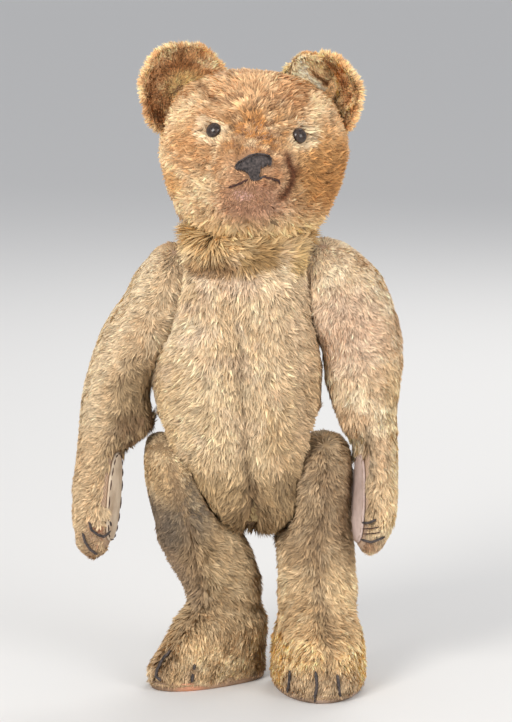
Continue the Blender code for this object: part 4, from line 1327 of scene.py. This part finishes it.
for side, (arm, *_) in arms.items():
    tree = drape_of(arm)
    lines = [laid(tree, claw, 1.9) for claw in HAND_CLAWS[side]]
    claws = thread(f"hand_claws_{side}", lines, 0.85, BLACK_FLOSS)
    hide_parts(f"claw_thread_hand_{side}")
    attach(claws, f"arm_{side}")
    if side == "left":
        thin = [laid(tree, [(74.5, 101.0), (83.0, 103.2)], 1.7), laid(tree, [(74.3, 97.9), (83.5, 100.0)], 1.7)]
        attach(thread("hand_claws_left_thin", thin, 0.35, BROWN_FLOSS), "arm_left")


# ------------------------------------------------------------------ legs
# Full thighs, narrow ankles and long feet, with a seam down the front. The pile is brushed away from the
# seam, yellower than the body's, and short and dirty on the feet.

LEG_ROWS = {
    "left": [
        (50, 0, 154, 0, 0, 0, 0),
        (50, 0, 151.5, 8, 10, 10, 0),
        (49.5, 0, 146, 13.5, 18, 18, 0),
        (48.5, 0, 138, 16, 23, 22, 0),
        (47, 0, 127, 18, 26, 25, 0),
        (46, 0, 112, 19, 25.5, 25, 0),
        (45.7, 0, 98, 20, 24, 24, 0),
        (45.6, -2, 85, 20.8, 22.5, 22, 0),
        (46, -4, 72, 21, 21.5, 21, 0),
        (46.6, -7, 58, 21.3, 21, 19, 0),
        (46.4, -9, 47, 21, 25, 18.5, 2),
        (47, -9, 36, 22.8, 35, 19, 2),
        (47, -9, 25, 25, 45, 19.5, 2),
        (47, -9, 14, 27, 52, 20.5, 2),
        (47, -9, 6, 27, 52.5, 20.5, 2),
        (47, -9, 2.5, 25, 50, 18.5, 2),
        (47, -9, 2.5, 0, 0, 0, 2),
    ],
    "right": [
        (-49, 0, 154, 0, 0, 0, 0),
        (-48.5, 0, 151.5, 7, 9, 9, 0),
        (-45.5, 0, 146, 12.5, 17, 17, 0),
        (-42, 0, 138, 16.5, 22, 22, 0),
        (-38.5, 0, 127, 19.5, 25.5, 25, 0),
        (-33.5, 0, 112, 22, 25, 25, 0),
        (-28.5, 2, 98, 23.5, 24, 24, 0),
        (-23.5, 4, 85, 25, 22.5, 22, -6),
        (-17.8, 6, 72, 24, 22, 21.5, -14),
        (-12.3, 8.5, 58, 21.2, 20.5, 20, -25),
        (-10.4, 10, 47, 18, 25, 19, -35),
        (-9.5, 10, 36, 21.5, 37.5, 22, -41),
        (-10, 10, 25, 23.8, 46.5, 23, -43),
        (-11, 10, 14, 25.5, 56, 23, -45),
        (-11, 10, 6, 25.5, 56.5, 23, -45),
        (-11, 10, 2.5, 23.5, 54, 21, -45),
        (-11, 10, 2.5, 0, 0, 0, -45),
    ],
}
FOOT_CLAWS = {
    "left": [[(31.2, 16.5), (30.6, 9.0), (29.5, 3.4)], [(45.0, 18.5), (46.0, 11.5), (44.4, 3.2)],
             [(56.8, 16.5), (58.3, 3.6)]],
    "right": [[(-42.1, 22.5), (-46.5, 17.0), (-49.6, 13.0), (-50.4, 9.4), (-47.6, 7.2)],
              [(-28.6, 16.6), (-29.4, 13.2)], [(-29.8, 11.2), (-30.6, 6.0)]],
}
leg_backing = backing("leg_backing", rgb(200, 172, 134), rgb(150, 122, 90), rgb(112, 94, 74), 0.5)
legs = {}


def rubbed_edge(x):
    """Where the right sole's edge is rubbed bare and pink, near the toe; the pile hangs over the rest."""
    return band(x + 33, 9.0)


for side, sign in (("left", 1), ("right", -1)):
    rows = LEG_ROWS[side]
    joint = JOINTS[f"hip_{side}"]
    hip_planes = [(joint[0], -joint[1], 27.0)]
    rings = standing_rings(rows, levels=84, around=64)
    rings[..., 2] = np.maximum(rings[..., 2], 2.45)
    leg = skin_mesh(f"leg_{side}_backing", pressed(rings, hip_planes))

    def leg_ahead(points):
        """Across and ahead distances from the leg's middle line, in the leg's own turned directions."""
        turn = np.radians(row_at(rows, points[:, 2], 6))
        x = points[:, 0] - row_at(rows, points[:, 2], 0)
        y = points[:, 1] - row_at(rows, points[:, 2], 1)
        return x * np.cos(turn) + y * np.sin(turn), x * np.sin(turn) - y * np.cos(turn), turn

    def leg_seam(points):
        across, forward, _ = leg_ahead(points)
        away = np.abs(across - sign * 2.0 - 1.5 * np.sin(points[:, 2] / 17.0))
        return np.where((forward > 0) & (points[:, 2] < 140) & (points[:, 2] > 16), away, 50)

    floor_plane = [((0, 0, 2.4), (0, 0, -1), 1000.0)]
    stuffed(leg, 51 + sign, hip_planes + floor_plane, lump=1.2, seam=leg_seam)
    leg.data.materials.append(leg_backing)
    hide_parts(f"leg_{side}_cover")
    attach(leg, f"leg_{side}")
    legs[side] = leg

    def leg_cover(points, out):
        keep = patchy(points, 11, 101 + sign)
        keep = keep * (1 - 0.6 * np.exp(-(leg_seam(points) ** 2)))
        off_sole = rise(-0.9, -0.6, out[:, 2]) * rise(3.8, 5.6, points[:, 2])
        return keep * to_front(out, 0.45) * away_from_planes(points, hip_planes) * off_sole

    def leg_lie(points, out):
        across, forward, turn = leg_ahead(points)
        z = points[:, 2]
        whirl = patches(points, 11, 103 + sign) - 0.5
        foot = rise(46, 28, z)
        sideways = 1.5 * np.tanh((across - sign * 2) / 7) * (1 - 0.55 * foot) + whirl
        ahead = 0.9 * foot
        down = -1.0 + 0.35 * foot
        back = 1.8 * rise(0.7, 0.92, out[:, 2]) * rise(120, 135, z)
        return np.stack([sideways * np.cos(turn) + ahead * np.sin(turn),
                         sideways * np.sin(turn) - ahead * np.cos(turn) + back, down + 0 * z], -1)

    def leg_length(points, out):
        z = points[:, 2]
        thin = rise(92, 112, z)
        tall = 7.6 - thin + 0.8 * rise(90, 60, z) - 3.0 * rise(32, 12, z)
        tall = tall - (3.4 * thin if sign < 0 else 0) - 1.6 * rise(138, 150, z)
        if sign < 0:
            tall = tall - 2.2 * rise(9, 6, z) * rubbed_edge(points[:, 0])
        for spot in itertools.chain(*FOOT_CLAWS[side]):
            tall = tall - 1.1 * near(points[:, [0, 2]], spot, 5.0)
        return np.clip(tall, 1.6, 1.6 + 0.85 * np.maximum(z - 2.4, 0))

    def leg_colour(points, out, rng):
        z = points[:, 2]
        x = points[:, 0]
        tone = Tone(rgb(212, 184, 142), rgb(188, 158, 118), blotches(points, 14, 111 + sign, 0.35, 0.7))
        tone.coat(230, 208, 170, 0.6 * blotches(points, 6, 112 + sign, 0.5, 0.75))
        if sign < 0:
            tone.coat(158, 134, 102, 0.55 * rise(112, 92, z) * rise(30, 45, z))
            outer_shin = rise(-4, -16, x - row_at(rows, z, 0)) * rise(132, 98, z) * rise(44, 60, z)
            tone.coat(128, 106, 88, 0.6 * outer_shin)
            tone.coat(120, 106, 90, 0.5 * near(points, (-42, -14, 102), 30, (1, 1, 0.75)))
            tone.coat(230, 206, 170, 0.5 * rise(134, 146, z))
            speckle = 0.4 + 0.6 * blotches(points, 2.0, 114, 0.4, 0.6)
            for spot, reach in (((-55, -8, 108), 14), ((-28, -24, 117), 16), ((-42, -22, 96), 13)):
                tone.coat(98, 86, 74, 0.75 * speckle * near(points, spot, reach, (1, 1, 1.5)))
            # Painted shade: a darker reddish-brown groove across the top of the thigh, by the body.
            groove = rise(14, 4, np.abs(x + 20 - 0.5 * (132 - z))) * rise(98, 108, z) * rise(152, 140, z)
            tone.coat(142, 96, 62, 0.7 * groove * blotches(points, 5, 115, 0.2, 0.6))
            tone.coat(184, 128, 78, 0.6 * near(points, (-30, -22, 50), 15, (1, 1, 0.8)))
        else:
            # Painted shade: the upper thigh darker, under the arm and body.
            tone.coat(146, 122, 96, 0.6 * rise(60, 104, z) * rise(156, 146, z))
            tone.coat(236, 204, 154, 0.75 * rise(48, 30, z))
        tone.coat(168, 146, 122, 0.5 * rise(24, 14, z) * rise(-34, -46, points[:, 1]))
        tone.coat(158, 130, 104, 0.5 * rise(9, 3, z))
        for spot in itertools.chain(*FOOT_CLAWS[side]):
            tone.coat(172, 144, 116, 0.25 * near(points[:, [0, 2]], spot, 7.0))
        tone.coat(140, 114, 86, 0.55 * band(leg_seam(points), 2.6))
        return tone.now

    pile(f"leg_{side}_pile", leg, f"leg_{side}", count=56000, seed=61 + sign,
         cover=leg_cover, lie=leg_lie, length=leg_length, colour=leg_colour, stand=21, grain=(1, 1, 0.55))


# ------------------------------------------------------------------ foot pads and foot claws
# Felt soles sewn round the foot over a card insole, soiled, and the right one rubbed orange-pink at the toe,
# with three claw stitches above.

SOLE_FELTS = {
    "left": felt_material("sole_felt_left", rgb(182, 156, 138), rgb(116, 96, 78)),
    "right": felt_material("sole_felt_right", rgb(184, 152, 126), rgb(118, 96, 78),
                           ((-33, -24, 3), 15, rgb(218, 156, 124))),
}
for side, sign in (("left", 1), ("right", -1)):
    row = LEG_ROWS[side][-3]
    ring = standing_rings([row, row], 2, 72)[0]
    centre = Vector(ring.mean(0))
    outline = [(p[0] - centre.x, p[1] - centre.y) for p in ring]
    rings = []
    for share, height in (
        (0, 2.2), (0.5, 2.2), (0.92, 2.2), (0.965, 2.7), (0.99, 4.0), (1.0, 5.0), (1.018, 5.0), (1.028, 4.0),
        (1.028, 2.0), (1.015, 0.5), (0.99, 0), (0.5, 0), (0, 0),
    ):
        rings.append([(centre.x + u * share, centre.y + v * share, height) for u, v in outline])
    sole = skin_mesh(f"sole_{side}_felt", np.array(rings))
    sole.data.materials.append(SOLE_FELTS[side])
    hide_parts(f"foot_pad_{side}")
    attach(sole, f"leg_{side}")
    tree = drape_of(legs[side])
    lines = [laid(tree, claw, 2.1) for claw in FOOT_CLAWS[side]]
    claws = thread(f"foot_claws_{side}", lines, 0.95, BLACK_FLOSS)
    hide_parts(f"claw_thread_foot_{side}")
    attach(claws, f"leg_{side}")


# ------------------------------------------------------------------ inside the covers
# Wood wool packed hard into every cover, card insoles in the feet, and at the neck and each limb a joint of
# card discs and steel washers on a split pin. They are seen when the seams are opened.

def inner_material(name, dark, light, scale, rough, metal=0.0):
    def build(tree):
        looks = clouded(tree, scale, 5, low=0.3, high=0.7, first=paint(dark), second=paint(light))
        return {"Base Color": looks["Colour"], "Normal": bump(tree, looks["Height"], 0.0006),
                "Roughness": rough, "Metallic": metal}

    return surface(name, build)


inner = {
    "stuffing": inner_material("wood_wool", rgb(150, 122, 82), rgb(208, 184, 136), 420, 0.85),
    "disc": inner_material("pressed_card", rgb(92, 70, 48), rgb(130, 102, 72), 300, 0.85),
    "insole": inner_material("insole_card", rgb(100, 78, 54), rgb(138, 110, 78), 300, 0.85),
    "washer": inner_material("washer_steel", rgb(96, 92, 88), rgb(150, 146, 140), 500, 0.4, 0.95),
    "pin": inner_material("pin_steel", rgb(90, 84, 78), rgb(146, 140, 132), 500, 0.38, 0.95),
}
for name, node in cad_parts.items():
    for word, mat in inner.items():
        if word in name.split("_"):
            node.data.materials.clear()
            node.data.materials.append(mat)
